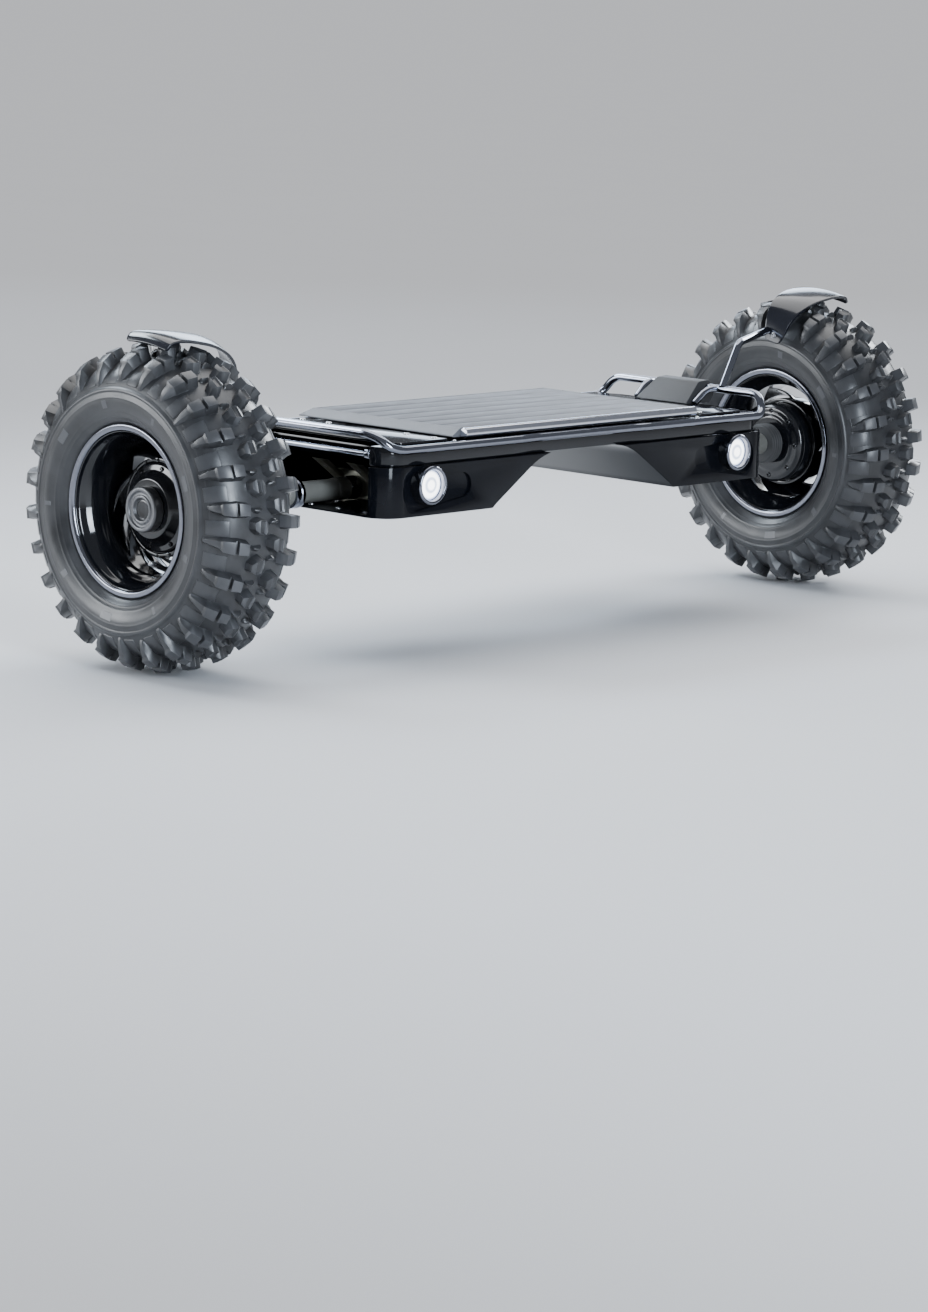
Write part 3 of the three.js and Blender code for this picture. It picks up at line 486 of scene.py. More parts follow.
TYRE_RUBBER = rubber("tyre_rubber", (0.016, 0.0165, 0.018), (0.036, 0.037, 0.04), 0.36, sheen=0.15)
SOFT_RUBBER = rubber("soft_rubber", (0.014, 0.014, 0.015), (0.03, 0.03, 0.031), 0.55, 2200)
RIM_GLOSS = gloss("rim_gloss", (0.003, 0.0035, 0.005), 0.04)
MOTOR_GLOSS = gloss("motor_gloss", (0.004, 0.0045, 0.006), 0.08)
FENDER_GLOSS = gloss("fender_gloss", (0.006, 0.007, 0.011), 0.12)
BODY_GLOSS = gloss("body_gloss", (0.003, 0.0035, 0.005), 0.05, 0.3)
POD_GLOSS = gloss("pod_gloss", (0.002, 0.0025, 0.004), 0.07, 0.14, 0.06)
POLISHED = metal("polished_tube", (0.24, 0.255, 0.3), 0.07)
BRIGHT = metal("bright_rail", (0.62, 0.64, 0.7), 0.07)
LIP_METAL = metal("rim_lip", (0.23, 0.24, 0.28), 0.12)
STEEL = metal("bright_steel", (0.5, 0.51, 0.53), 0.26, marks=0.06)
SLEEVE_METAL = textured("worn_sleeve", (0.17, 0.17, 0.155), 0.5, 240, 0.2, 0.2)
CAP_METAL = textured("hub_cap", (0.17, 0.172, 0.18), 0.36, 900, 0.1, 0.6)
CAST = textured("cast_bracket", (0.2, 0.2, 0.16), 0.42, 700, 0.25, 0.5)
POWDER = textured("powder_coat", (0.022, 0.0225, 0.025), 0.56, 1500, 0.25)
SATIN = textured("satin_plastic", (0.02, 0.02, 0.022), 0.4, 1100, 0.15)
BORDER = textured("deck_border", (0.078, 0.08, 0.087), 0.48, 900, 0.08, 0.2)
SLATS = slat_finish("deck_slats", (0.062, 0.064, 0.071))
COPPER = windings("copper_windings")
BOARD = circuit("circuit_board")


# ---- tyre -------------------------------------------------------------------------------------
# The carcass is a smooth section; lugs are drawn flat, as (across, round, height), and then laid on
# it. "across" is measured along the section from the crown and "round" along the circumference.
PITCHES = 26
CROWN_RADIUS = TYRE_RADIUS - 12.4
PITCH = 2 * math.pi * CROWN_RADIUS / PITCHES
SECTION = [
    (0, CROWN_RADIUS), (13, CROWN_RADIUS - 0.6), (25, CROWN_RADIUS - 3), (36, CROWN_RADIUS - 7.4),
    (45, CROWN_RADIUS - 14), (52, CROWN_RADIUS - 22.8), (56.5, 119), (57.5, 109), (54, 98),
    (49, 90.5), (44.5, 86.5),
]
RIDGE_RADIUS = 121  # the moulded ring between the tread and the smooth sidewall


def section_line():
    """The section with how far each point lies from the crown along it."""
    line = spline(SECTION, 12)
    lengths = [0.0]
    for a, b in zip(line, line[1:]):
        lengths.append(lengths[-1] + (b - a).length)
    return line, lengths


LINE, LENGTHS = section_line()


def on_section(across, height):
    """The point at a distance from the crown and a height over the carcass, as (x, radius)."""
    distance = abs(across)
    i = 1
    while i < len(LENGTHS) - 1 and LENGTHS[i] < distance:
        i += 1
    share = (distance - LENGTHS[i - 1]) / (LENGTHS[i] - LENGTHS[i - 1])
    point = LINE[i - 1].lerp(LINE[i], share)

    def slope(j):
        j = max(1, min(len(LINE) - 2, j))
        return (LINE[j + 1] - LINE[j - 1]).normalized()

    along = slope(i - 1).lerp(slope(i), share).normalized()
    if distance < 1:
        along = Vector((1, 0))
    point = point + Vector((-along.y, along.x)) * height
    return math.copysign(point.x, across), point.y


def laid_on_tyre(bm, turn):
    """Lays a flat mesh on the carcass at an angle round the wheel."""
    for vert in bm.verts:
        x, radius = on_section(vert.co.x, vert.co.z)
        angle = turn + vert.co.y / CROWN_RADIUS
        vert.co = (x, radius * math.sin(angle), radius * math.cos(angle))
    return bm


def lug(stations, flare=1.8, foot=1.4):
    """A flat rubber lug through stations of (across, middle, half foot, half top, height)."""
    def section(across, middle, base, top, height):
        spread = [(-base - flare, -1.0), (-base, min(foot, height)), (-top, height),
                  (top, height), (base, min(foot, height)), (base + flare, -1.0)]
        return [(across, middle + s, h) for s, h in spread]

    return skin([section(*s) for s in stations])


def shoulder_lug(long):
    """A bar: a thin ridge near the sidewall that thickens to a split block at the tread."""
    return lug([
        (62 + long, 3.0, 1.8, 0.7, -0.8), (59 + long, 2.9, 3.0, 1.5, 2.0), (53.5, 2.2, 5.2, 3.0, 6.2),
        (47.5, 1.2, 6.4, 4.0, 8.4), (45.5, 0.6, 7.2, 5.6, 11.0), (35.8, -0.6, 7.8, 6.2, 11.8),
        (35.2, -0.6, 7.8, 6.5, 6.8), (33.4, -0.6, 7.8, 6.5, 6.8), (32.8, -0.6, 7.8, 6.0, 12.0),
        (23.5, -1.9, 7.0, 5.2, 11.7), (21.2, -2.1, 7.2, 6.0, -0.8),
    ], flare=1.4)


def panel():
    """A low step between two shoulder bars."""
    return lug([
        (64, 18, 8.2, 7.6, -0.8), (63, 18, 8.2, 7.6, 0.7), (50, 17.2, 8.6, 8.0, 0.8),
        (40, 16.4, 8.2, 7.6, 0.7), (39, 16.4, 8.2, 7.6, -0.8),
    ], flare=0.4, foot=0.6)


def centre_block(skew):
    """A faceted block, about as long as it is wide, with a dimple in its top."""
    half = PITCH / 2
    bm = lug([
        (2.6, half - 1.3 * skew, 4.2, 3.2, -0.8), (4.4, half - 1.1 * skew, 5.2, 3.8, 9.6),
        (8.4, half - 0.3 * skew, 8.4, 6.6, 12.0), (14.2, half + 0.6 * skew, 7.8, 6.0, 11.8),
        (17.8, half + 1.5 * skew, 5.0, 3.2, 9.4), (19.8, half + 1.7 * skew, 4.2, 3.4, -0.8),
    ], flare=1.2)
    bmesh.ops.recalc_face_normals(bm, faces=bm.faces)
    top = max(bm.faces, key=lambda f: f.calc_center_median().z)
    bmesh.ops.inset_individual(bm, faces=[top], thickness=1.8)
    bmesh.ops.translate(bm, verts=top.verts, vec=(0, 0, -1.8))
    return bm


def ramp_fin():
    """A crescent that climbs towards the neighbouring block."""
    return lug([
        (4.0, -1.5, 1.2, 0.6, -0.8), (6.0, -2.6, 1.9, 0.8, 3.0), (10.0, -3.6, 2.4, 0.9, 5.2),
        (14.5, -2.8, 2.0, 0.8, 3.8), (17.5, -1.2, 1.2, 0.6, -0.8),
    ], flare=1.6, foot=0.8)


def mirrored_across(bm):
    """The same on the other side of the crown, with its direction round the tyre reversed."""
    for vert in bm.verts:
        vert.co.x, vert.co.y = -vert.co.x, -vert.co.y
    return bm


def carcass():
    """The smooth body of the tyre, with a ring moulded into each sidewall."""
    side = []
    for x, radius in LINE:
        swell = max(0.0, 1 - abs(radius - RIDGE_RADIUS) / 2.4)
        rings = 0.35 * sum(math.exp(-((radius - r) / 0.7) ** 2) for r in (94, 98, 113))
        side.append((x + 1.5 * min(1, swell * 1.6) + rings, radius))
    bead = [(44, 84), (43, 82.5), (36, 82), (34, 83), (38, 90), (48, 100), (54, 112), (52, 130),
            (38, 143), (0, 147)]
    half = side + bead
    profile = [(-x, r) for x, r in reversed(half[:-1])] + half[1:-1]
    profile = [(-0.0, 147)] + profile
    return turned(profile, segments=PITCHES * 8, closed=True)


def sidewall_marks():
    """Faint moulded plates on the sidewall."""
    marks = []
    for k in range(9):
        wide = (5, 11, 3)[k % 3]
        plate = bevelled(cuboid((80, -wide, -0.6), (88, wide, 0.28)), 0.2, 1)
        marks.append(laid_on_tyre(plate, 2 * math.pi * k / 9 + 0.2))
    return marks


def tyre(end):
    parts = [carcass()]
    step = PITCH / CROWN_RADIUS
    for k in range(PITCHES):
        turn = k * step
        skew, long = (1.3, -0.7, 0.4, -1.4, 0.9)[k % 5], (0, 4, 1, 6)[k % 4]
        for draw, width in ((lambda: shoulder_lug(long), 0.6), (panel, 0.25),
                            (lambda: centre_block(skew), 0.7), (ramp_fin, 0.4)):
            parts.append(laid_on_tyre(bevelled(draw(), width), turn))
            other = mirrored_across(bevelled(draw(), width))
            parts.append(laid_on_tyre(other, turn + step / 2))
    parts += sidewall_marks()
    parts += [moved(mark, turn=math.pi, axis="Z") for mark in sidewall_marks()]
    make_wheel(end, "tyre_skin", join(*parts), TYRE_RUBBER, "tyre")


# ---- wheel ------------------------------------------------------------------------------------
BARREL_INNER = 66
SPIDER_INNER, SPIDER_OUTER = 46.1, 50
BLADES = 8


def rim_blade():
    """A swept, cambered blade from the spider ring to the barrel."""
    steps, chords = 12, 10
    rings = []
    for i in range(steps + 1):
        t = i / steps
        radius = SPIDER_OUTER - 2 + t * (BARREL_INNER + 4 - SPIDER_OUTER)
        sweep = 0.62 * t + 0.16 * t * t
        half_chord = 14 + 7 * t
        pitch = math.radians(50 - 20 * t)
        ring = []
        for k in range(2 * chords):
            face = 1 if k < chords else -1
            along = -1 + 2 * (k % chords) / (chords - 1)
            along *= face
            edge = max(0.0, 1 - along * along)
            off = face * (0.5 + 1.9 * math.sqrt(edge)) + 3.2 * edge
            across = along * half_chord * math.cos(pitch) - off * math.sin(pitch)
            x = -5 + along * half_chord * math.sin(pitch) + off * math.cos(pitch)
            angle = sweep + across / radius
            ring.append((x, radius * math.sin(angle), radius * math.cos(angle)))
        rings.append(ring)
    return skin(rings)


def rim(end):
    inside = [(-45, 78.2), (-41, 77.6), (-26.5, 68.2), (-24, BARREL_INNER), (12, BARREL_INNER),
              (14, 67.2), (21, 67.8), (29, 70.2), (35.5, 73.4), (40.5, 77.4), (45, 78.2)]
    outside = [(45, 81.7), (34, 81.7), (26, 73), (-26, 73), (-34, 81.7), (-45, 81.7)]
    barrel = turned(inside + outside, 144, closed=True, rounding=1.6)
    spider = turned([(-24, SPIDER_INNER), (4, SPIDER_INNER), (4, SPIDER_OUTER),
                     (-24, SPIDER_OUTER)], closed=True, rounding=1.2)
    bolts = around(BLADES * 2, lambda: screw((4, 0, 48), (1, 0, 0), 1.5, 1.2))
    whole = join(barrel, spider, around(BLADES, rim_blade), bolts)
    make_wheel(end, "rim_shell", whole, RIM_GLOSS, "rim")
    lip = rounded([(47.5, 80.6), (47.5, 86), (44.6, 86), (44.6, 81.9), (44.2, 78.6)], 1.3, 4,
                  closed=True)
    lips = join(turned(lip, 144, closed=True),
                turned([(-x, r) for x, r in reversed(lip)], 144, closed=True))
    make_wheel(end, "rim_lips", lips, LIP_METAL)


def valve_stem(end):
    """A rubber stem with a metal cap, standing in the dish between two blades."""
    stem = turned([(0, 4.4), (3, 4.2), (5, 2.9), (15, 2.6), (16, 2.2), (16, 0)], 24, "Z",
                  rounding=0.6, steps=2)
    cap = turned([(15.6, 0), (15.6, 3.0), (24, 2.8), (25, 2.0), (25, 0)], 24, "Z",
                 rounding=0.6, steps=2)
    lean, turn = math.radians(118), math.radians(144.9)
    seat = (Matrix.Rotation(turn, 4, "X") @ Matrix.Translation((22, 0, 69.5))
            @ Matrix.Rotation(lean, 4, "Y"))
    for bm in (stem, cap):
        bm.transform(seat)
    make_wheel(end, "valve_stem", stem, SOFT_RUBBER)
    make_wheel(end, "valve_stem_cap", cap, STEEL)


def motor(end):
    shell = turned([(-36, 41), (-36, 45.5), (3.6, 45.5), (5.6, 43.6), (6.6, 37.6), (13, 32.4),
                    (16, 30), (16, 16.3), (5, 16.3), (5, 30), (-2, 41)],
                   closed=True, rounding=1.0)
    screws = around(8, lambda: screw((6.0, 0, 40.4), (1, 0, 0.14), 2.5, 2.2), 0.2)
    make_wheel(end, "motor_drum", join(shell, screws), MOTOR_GLOSS, "motor_shell")
    cover = turned([(-36.3, 16.3), (-36.3, 45.5), (-40.5, 45.2), (-44, 40.8), (-44.2, 34),
                    (-46, 30.6), (-46, 16.3)], closed=True, rounding=2.2, steps=5)
    studs = around(8, lambda: screw((-43.6, 0, 37.4), (-1, 0, 0), 2.8, 2.2))
    make_wheel(end, "motor_lid", join(cover, studs), MOTOR_GLOSS, "motor_cover")
    cap = turned([(22, 0), (22, 19), (16.3, 19), (16.3, 23), (26, 23), (27.5, 21.6),
                  (27.5, 18.6), (25.2, 17.4), (25.2, 15), (26.6, 14), (26.6, 11.6),
                  (23, 10.2), (23, 0)], rounding=0.8, steps=4)
    make_wheel(end, "hub_ring", cap, CAP_METAL, "hub_cap")
    disc = turned([(22.5, 0), (22.5, 9.6), (23.6, 9.6), (24, 8.4), (23.6, 4), (23.6, 0)],
                  rounding=0.4)
    make_wheel(end, "hub_disc", disc, MOTOR_GLOSS)


# ---- axle line --------------------------------------------------------------------------------
AXLE_BORE = 8.3


def boot(end):
    """A rubber bellows of four ribs."""
    low, high = corners("right_axle_boot")
    ribs, count, steps = [], 4, 8
    pitch = (high.x - low.x) / count
    for k in range(count * steps + 1):
        share = k / steps
        ribs.append((low.x + pitch * share, 21.4 - 1.4 * math.cos(2 * math.pi * share)))
    bellows = turned([(low.x, AXLE_BORE), *ribs, (high.x, AXLE_BORE)], 72, closed=True)
    make_end(end, "boot", at_axle(bellows), SOFT_RUBBER, "axle_boot")


def sleeve(end):
    """The grey tube over the axle, with a wire clip and a polished collar."""
    low, high = corners("right_axle_sleeve")
    start, stop = low.x, high.x
    tube = turned([(start, AXLE_BORE), (start, 12), (start + 16, 12), (start + 17, 11.2),
                   (303, 11.2), (304, 12), (324, 12), (325, 11.4), (stop - 26, 11.4),
                   (stop - 25, 12), (stop, 12), (stop, AXLE_BORE)],
                  closed=True, rounding=0.5, steps=2)
    clip = bar(rounded([(331, -5, 10.5), (331, -5, 16), (337, 0, 19), (343, 5, 16),
                        (343, 5, 10.5)], 3, 5), 0.9, 10, 0.2)
    make_end(end, "sleeve", at_axle(join(tube, clip)), SLEEVE_METAL, "axle_sleeve")
    collar = turned([(306, 11.6), (306, 15.5), (310, 15.5), (311, 14.6), (313, 14.6),
                     (314, 15.5), (318, 15.5), (318, 11.6)], closed=True, rounding=0.6)
    make_end(end, "sleeve_collar", at_axle(collar), POLISHED)


def knob(end):
    """The glossy, fluted knob at the sleeve's inner end."""
    bm = turned([(221.5, AXLE_BORE), (221.5, 11.6), (225, 12.6), (233, 12.2), (236.7, 10.4),
                 (236.7, AXLE_BORE)], 120, closed=True, rounding=0.9)
    for vert in bm.verts:
        reach = math.hypot(vert.co.y, vert.co.z)
        if reach > 11:
            flute = max(0.0, math.cos(10 * math.atan2(vert.co.z, vert.co.y)))
            vert.co.yz = vert.co.yz * (1 - 0.07 * flute ** 2)
    make_end(end, "knob", at_axle(bm), MOTOR_GLOSS, "axle_knob")


def clamp(end):
    """The split block that grips the axle, with its two pinch screws."""
    low, high = corners("right_axle_clamp")
    wide, flat = 22, low.z - AXLE_Z
    outline = [(wide, flat), *arc(0, 0, wide, 0, math.pi, 32), (-wide, flat)]
    hole = rod(low.x - 2, high.x + 2, AXLE_BORE)
    slit = cuboid((low.x - 1, -0.8, 6), (high.x + 1, 0.8, 30))
    block = bevelled(cut(prism(outline, "X", low.x, high.x), hole, slit), 1.0, 2, 40)
    pinch = [screw((205, s * 14.5, 16.6), (0, s * 0.6, 1), 3.2, 3) for s in (-1, 1)]
    make_end(end, "clamp", at_axle(join(block, *pinch)), POWDER, "axle_clamp")


def yoke(end):
    """The bent strap bracket: a face round the axle and two straps up to the plate."""
    low, high = corners("right_axle_yoke")
    near, far = low.x, low.x + 5.7
    flat, up, deep = corners("right_axle_clamp")[0].z - AXLE_Z, high.z - AXLE_Z, high.y
    face = prism(rounded([(-deep, flat), (deep, flat), (deep, 17), (-deep, 17)], 4, 4,
                         closed=True), "X", near, far)
    face = bevelled(cut(face, rod(near - 2, far + 2, AXLE_BORE)), 0.8, 2, 40)
    side_view = rounded([(near, flat), (far, flat), (far, 6), (258, up - 4), (262, up - 4),
                         (262, up), (254, up), (near, 9)], 2.5, 3, closed=True)
    straps = [bevelled(prism(side_view, "Y", y, y + 13), 0.8, 2, 40) for y in (-deep, deep - 13)]
    bolts = [screw((far, s * 25.5, z), (1, 0, 0), 4, 3.4) for s in (-1, 1) for z in (-6, 11)]
    hangers = [screw((240, s * 25.5, 22.6), (0.62, 0, -0.78), 3.4, 2.6) for s in (-1, 1)]
    make_end(end, "yoke", at_axle(join(face, *straps)), CAST, "axle_yoke")
    make_end(end, "yoke_bolts", at_axle(join(*bolts, *hangers)), STEEL)


# ---- fender -----------------------------------------------------------------------------------
# Stations across the tyre, from the flange beside it to the lip over its outer shoulder: x at the
# rear edge, x at the front edge, radius about the axle and angle of the rear edge.
FENDER_FRONT = -15.3  # front edge, degrees about the axle from straight up
FENDER_THICK = 3
FENDER_STATIONS = [
    (417, 419, 121, -4), (418, 422, 136, -4), (420.5, 428, 149, -3.6), (426, 439, 159.5, -3),
    (436, 452, 166.5, -2), (449, 465, 171, -0.5), (466, 479, 174, 1.5), (484, 491, 176, 3.2),
    (500, 502, 177, 4.5), (511, 510, 177, 5), (518, 517, 175.6, 5), (522.5, 521.5, 172.5, 5),
    (525, 524.5, 167.5, 5),
]


def fender(end):
    line = spline(FENDER_STATIONS, 6)
    last, count = len(line) - 1, 20
    rings = []
    for i, (_, _, radius, rear) in enumerate(line):
        rounding = min(1.0, i / 6, (last - i) / 3 + 0.5)
        reach = 0.5 + 0.5 * math.sqrt(1 - (1 - rounding) ** 2)

        def at(part, depth):
            x0, x, x1 = (st[1] + part * (st[0] - st[1]) for st in
                         (line[max(i - 1, 0)], line[i], line[min(i + 1, last)]))
            run = Vector((x1 - x0, line[min(i + 1, last)][2] - line[max(i - 1, 0)][2])).normalized()
            angle = math.radians(FENDER_FRONT + part * (rear - FENDER_FRONT))
            r = radius - run.x * depth
            return (x + run.y * depth, r * math.sin(angle), r * math.cos(angle))

        parts = [0.5 + reach * (k / count - 0.5) for k in range(count + 1)]
        rings.append([at(p, 0) for p in parts] + [at(p, FENDER_THICK) for p in reversed(parts)])
    shell = bevelled(skin(rings), 1.0, 3, 50)
    make_end(end, "fender_shell", at_axle(shell), FENDER_GLOSS, "fender", crease=45)
    low_screw = moved(screw((419.2, 0, 129), (-1, 0, 0), 3.6, 1.6), turn=math.radians(9.6))
    make_end(end, "fender_screw", at_axle(low_screw), STEEL)


# ---- tubes ------------------------------------------------------------------------------------
RAIL_RADIUS = 4.5
HOOP_X, HOOP_Z = 295, 241
RAIL_Y, RAIL_Z = 122, 219
RAIL_JOINT_X = 204
SHOULDERS = {"left": (HOOP_X + 3, 105, 235, 18), "right": (HOOP_X, 108, HOOP_Z, 12)}
STRUTS = {
    "left": [(306.7, 70, 235), (352, 56, 260), (413.5, -17, 291)],
    "right": [(296.5, -55, 248.3), (328, -48, 291), (416, -15, 298)],
}


def hoop(end):
    """The hoop climbs at the corners of the plate: higher on the right, where it has legs."""
    x, y, z, bend = SHOULDERS[end]
    front = [(RAIL_JOINT_X, -RAIL_Y, RAIL_Z), (HOOP_X - 9, -RAIL_Y, RAIL_Z), (x, -y, z)]
    line = front + [(a, -b, c) for a, b, c in reversed(front)]
    parts = [bar(rounded(line, bend, 10), RAIL_RADIUS, 28, 0.2)]
    for s in (-1, 1) if end == "right" else ():
        leg = [(HOOP_X, 47 * s, HOOP_Z), (HOOP_X - 16, 45 * s, HOOP_Z), (HOOP_X - 34, 43 * s, 226)]
        parts.append(bar(rounded(leg, 8, 6), 3.8, 20))
    make_end(end, "hoop_tube", join(*parts), POLISHED, "hoop", crease=40)


def end_rail(end):
    """The low rail across each end, with a socket at both its ends."""
    low, high = corners("right_end_rail")
    x, _, z = middle("right_end_rail")
    rail = bar([(x, low.y, z), (x, 0, z), (x, high.y, z)], (high.x - low.x) / 2)
    sockets = [rod(-4, 4, 6, 32, "Y", (x, s * (high.y - 4), z), 0.8) for s in (-1, 1)]
    make_end(end, "end_bar", join(rail, *sockets), POLISHED, "end_rail", crease=40)


def strut(end):
    """The bent bar that holds the fender, with its foot let into the hoop."""
    foot, bend, top = (Vector(p) for p in STRUTS[end])
    root = foot + (foot - bend).normalized() * 7
    make_end(end, "strut", bar(rounded([root, bend, top], 9, 8), 4.2, 24),
             POLISHED, "fender_strut", crease=40)


def handle():
    """A sloping block round the right hoop, narrower on top."""
    low, high = corners("right_handle_block")
    profile = [(low.x, low.z), (high.x - 9, low.z), (high.x, 234), (high.x, high.z - 4.5),
               (high.x - 5, high.z), (high.x - 22, high.z - 1)]
    profile = rounded(profile, 3, 3, closed=True)
    lean = 7 / (high.z - low.z)
    sides = [[(x, s * (high.y - lean * (z - low.z)), z) for x, z in profile] for s in (-1, 1)]
    block = bevelled(skin(sides), 1.6, 3, 30)
    make("handle", block, "chassis", POWDER, "right_handle_block")


def side_rail(name, node, s):
    """The long tube along one side, set back a little at the waist."""
    kink, waist = 95, 78
    inward = s * (RAIL_Y - 1.5)
    half = [(-RAIL_JOINT_X, s * RAIL_Y, RAIL_Z), (-kink, s * RAIL_Y, RAIL_Z),
            (-waist, inward, RAIL_Z)]
    line = half + [(-x, y, z) for x, y, z in reversed(half)]
    make(name, bar(rounded(line, 8, 6), RAIL_RADIUS, 28, 0.2), "chassis", POLISHED,
         node, crease=40)


# ---- chassis ----------------------------------------------------------------------------------
QUARTER = math.pi / 2
NOTCH_X, NOTCH_HALF_DEPTH = 268, 92
PLATE_CORNER, POD_CORNER = 24, 28
WING_X = (194, 266)
GUIDE_POSTS, POST_RADIUS = [(x, y) for x in (-150, 150) for y in (-85, 85)], 4
WING_TOP = plate_high.z
PLATE_TOP = WING_TOP - 3


def plate():
    end, deep, r = plate_high.x, plate_high.y, PLATE_CORNER
    front = [(78, -deep + 2.2), (104, -deep), *arc(end - r, -deep + r, r, -QUARTER, QUARTER, 8),
             (end, -NOTCH_HALF_DEPTH), (NOTCH_X, -NOTCH_HALF_DEPTH)]
    right = front + [(x, -y) for x, y in reversed(front)]
    outline = right + [(-x, -y) for x, y in right]
    slab = bevelled(prism(outline, "Z", plate_low.z, PLATE_TOP), 1.4, 3, 25)
    pocket = cuboid((-70, -55, plate_low.z + 6), (70, 55, PLATE_TOP + 1))
    bores = [rod(plate_low.z - 2, WING_TOP, POST_RADIUS + 0.4, 32, "Z", (x, y, 0))
             for x, y in GUIDE_POSTS]
    slab = cut(slab, pocket, *bores)
    wings, bolts = [], []
    for s in (-1, 1):
        x0, x1 = sorted((s * WING_X[0], s * WING_X[1]))
        deep_wing = deep - 8
        outline = rounded([(x0, -deep_wing), (x1, -deep_wing), (x1, deep_wing), (x0, deep_wing)],
                          7, 5, closed=True)
        wings.append(bevelled(prism(outline, "Z", PLATE_TOP - 0.5, WING_TOP), 0.8, 2))
        bolts += [screw((s * 206, y, WING_TOP - 0.2), (0, 0, 1), 3.4, 1.6)
                  for y in (-98, -58, 58, 98)]
        bolts += [screw((s * 188, y, PLATE_TOP - 0.2), (0, 0, 1), 2.4, 1.6)
                  for y in (-110.5, 110.5)]
    make("chassis_slab", join(slab, *wings), "chassis", BODY_GLOSS, "chassis_plate")
    make("chassis_screws", join(*bolts), "chassis", STEEL)


def pod(end):
    """The housing under one end: hollow, with a sloping inner face and a mouth for the wheel."""
    low, high = corners("right_pod")
    floor, top = low.z, high.z
    end_x, deep, r = high.x, high.y, POD_CORNER
    toe, heel, wall, bulkhead = 142, 66, 5, 195
    outline = [(52, -deep), *arc(end_x - r, -deep + r, r, -QUARTER, QUARTER, 12),
               *arc(end_x - r, deep - r, r, 0, QUARTER, 12), (52, deep)]
    shell = prism(outline, "Z", floor, top)
    slope = (toe - heel) / (top - floor)

    def on_slope(z, inset=0.0):
        return toe - (z - floor) * slope + inset

    under = rounded([(20, floor - 9), (on_slope(floor - 9), floor - 9),
                     (on_slope(top + 1), top + 1), (20, top + 1)], 26, 8, closed=True)
    wedge = prism(under, "Y", -deep - 9, deep + 9)
    shell = bevelled(cut(shell, wedge), 2.2, 4, 25)
    skin_inset = wall * 1.8
    inside, back = floor + wall, bulkhead - wall
    store = prism([(on_slope(inside, skin_inset), inside), (back, inside), (back, top + 5),
                   (on_slope(top + 5, skin_inset), top + 5)], "Y", -deep + wall, deep - wall)
    bay = cuboid((bulkhead, -deep + wall, floor + 2), (272, deep - wall, top + 5))
    mouth = bevelled(cuboid((262, -99, floor + 2), (end_x + 12, 99, top + 14)), 5, 4)
    barrel = rod(-140, -100, 20.3, 64, "Y", (LIGHT_X, 0, LIGHT_Z))
    teardrop = [*arc(LIGHT_X + 14, LIGHT_Z - 6, 20.5, QUARTER, -math.pi, 24),
                *arc(LIGHT_X - 51, LIGHT_Z - 4, 13, -QUARTER, -math.pi, 16)]
    hollow = prism(teardrop, "Y", -deep - 1, -deep + 4.2)
    tools = [store, bay, mouth, barrel, hollow]
    for node in ("power_button", "charge_socket") if end == "right" else ():
        x, _, z = middle(node)
        tools.append(rod(110, 130, corners(node)[1].x - x - 1.7, 48, "Y", (x, 0, z)))
    shell = bevelled(cut(shell, *tools), 0.7, 2, 50)
    make_end(end, "pod_shell", shell, POD_GLOSS, "pod")
    screws = [screw((x, y, floor + 0.2), (0, 0, -1), 3.2, 1.4) for x in (160, 222, 284)
              for y in (-104, 104)]
    screws += [screw((284, y, floor + 1.8), (0, 0, 1), 3, 1.6) for y in (-80, -40, 0, 40, 80)]
    make_end(end, "pod_screws", join(*screws), STEEL)


def headlight(end):
    front, back = -132, -104
    place = (LIGHT_X, 0, LIGHT_Z)
    body = turned([(back, 0), (back, 18), (back - 3, 20), (front + 5, 20), (front + 4.4, 20),
                   (front + 4.4, 16.8), (-123, 15.6), (-122, 14.3), (-122, 0)], 96, "Y", place,
                  rounding=0.6)
    make_end(end, "light_barrel", body, MOTOR_GLOSS, "light_housing")
    trim = turned([(front + 5, 20.0), (front + 1.5, 20.0), (front, 18.4), (front + 0.6, 16.4),
                   (front + 5.6, 15.2), (front + 5.6, 17)], 96, "Y", place, closed=True,
                  rounding=0.7, steps=4)
    make_end(end, "light_trim", trim, LIP_METAL)
    glow = lamp_glow(f"{end}_lamp_glow", (ENDS[end] * LIGHT_X * MM, 0, LIGHT_Z * MM),
                     LENS_RADIUS * MM)
    lens = [(-122.4, 0), (-122.4, LENS_RADIUS), (-125.6, LENS_RADIUS)]
    dome = 8
    for k in range(1, dome + 1):
        reach = LENS_RADIUS * (1 - k / dome)
        lens.append((-128 + 2.4 * (reach / LENS_RADIUS) ** 2, reach))
    make_end(end, "light_glass", turned(lens, 96, "Y", place), glow, "light_lens")


# ---- deck -------------------------------------------------------------------------------------
SLAT_COUNT = 7
SEAM = 2.0
BEVEL_RUN = 13


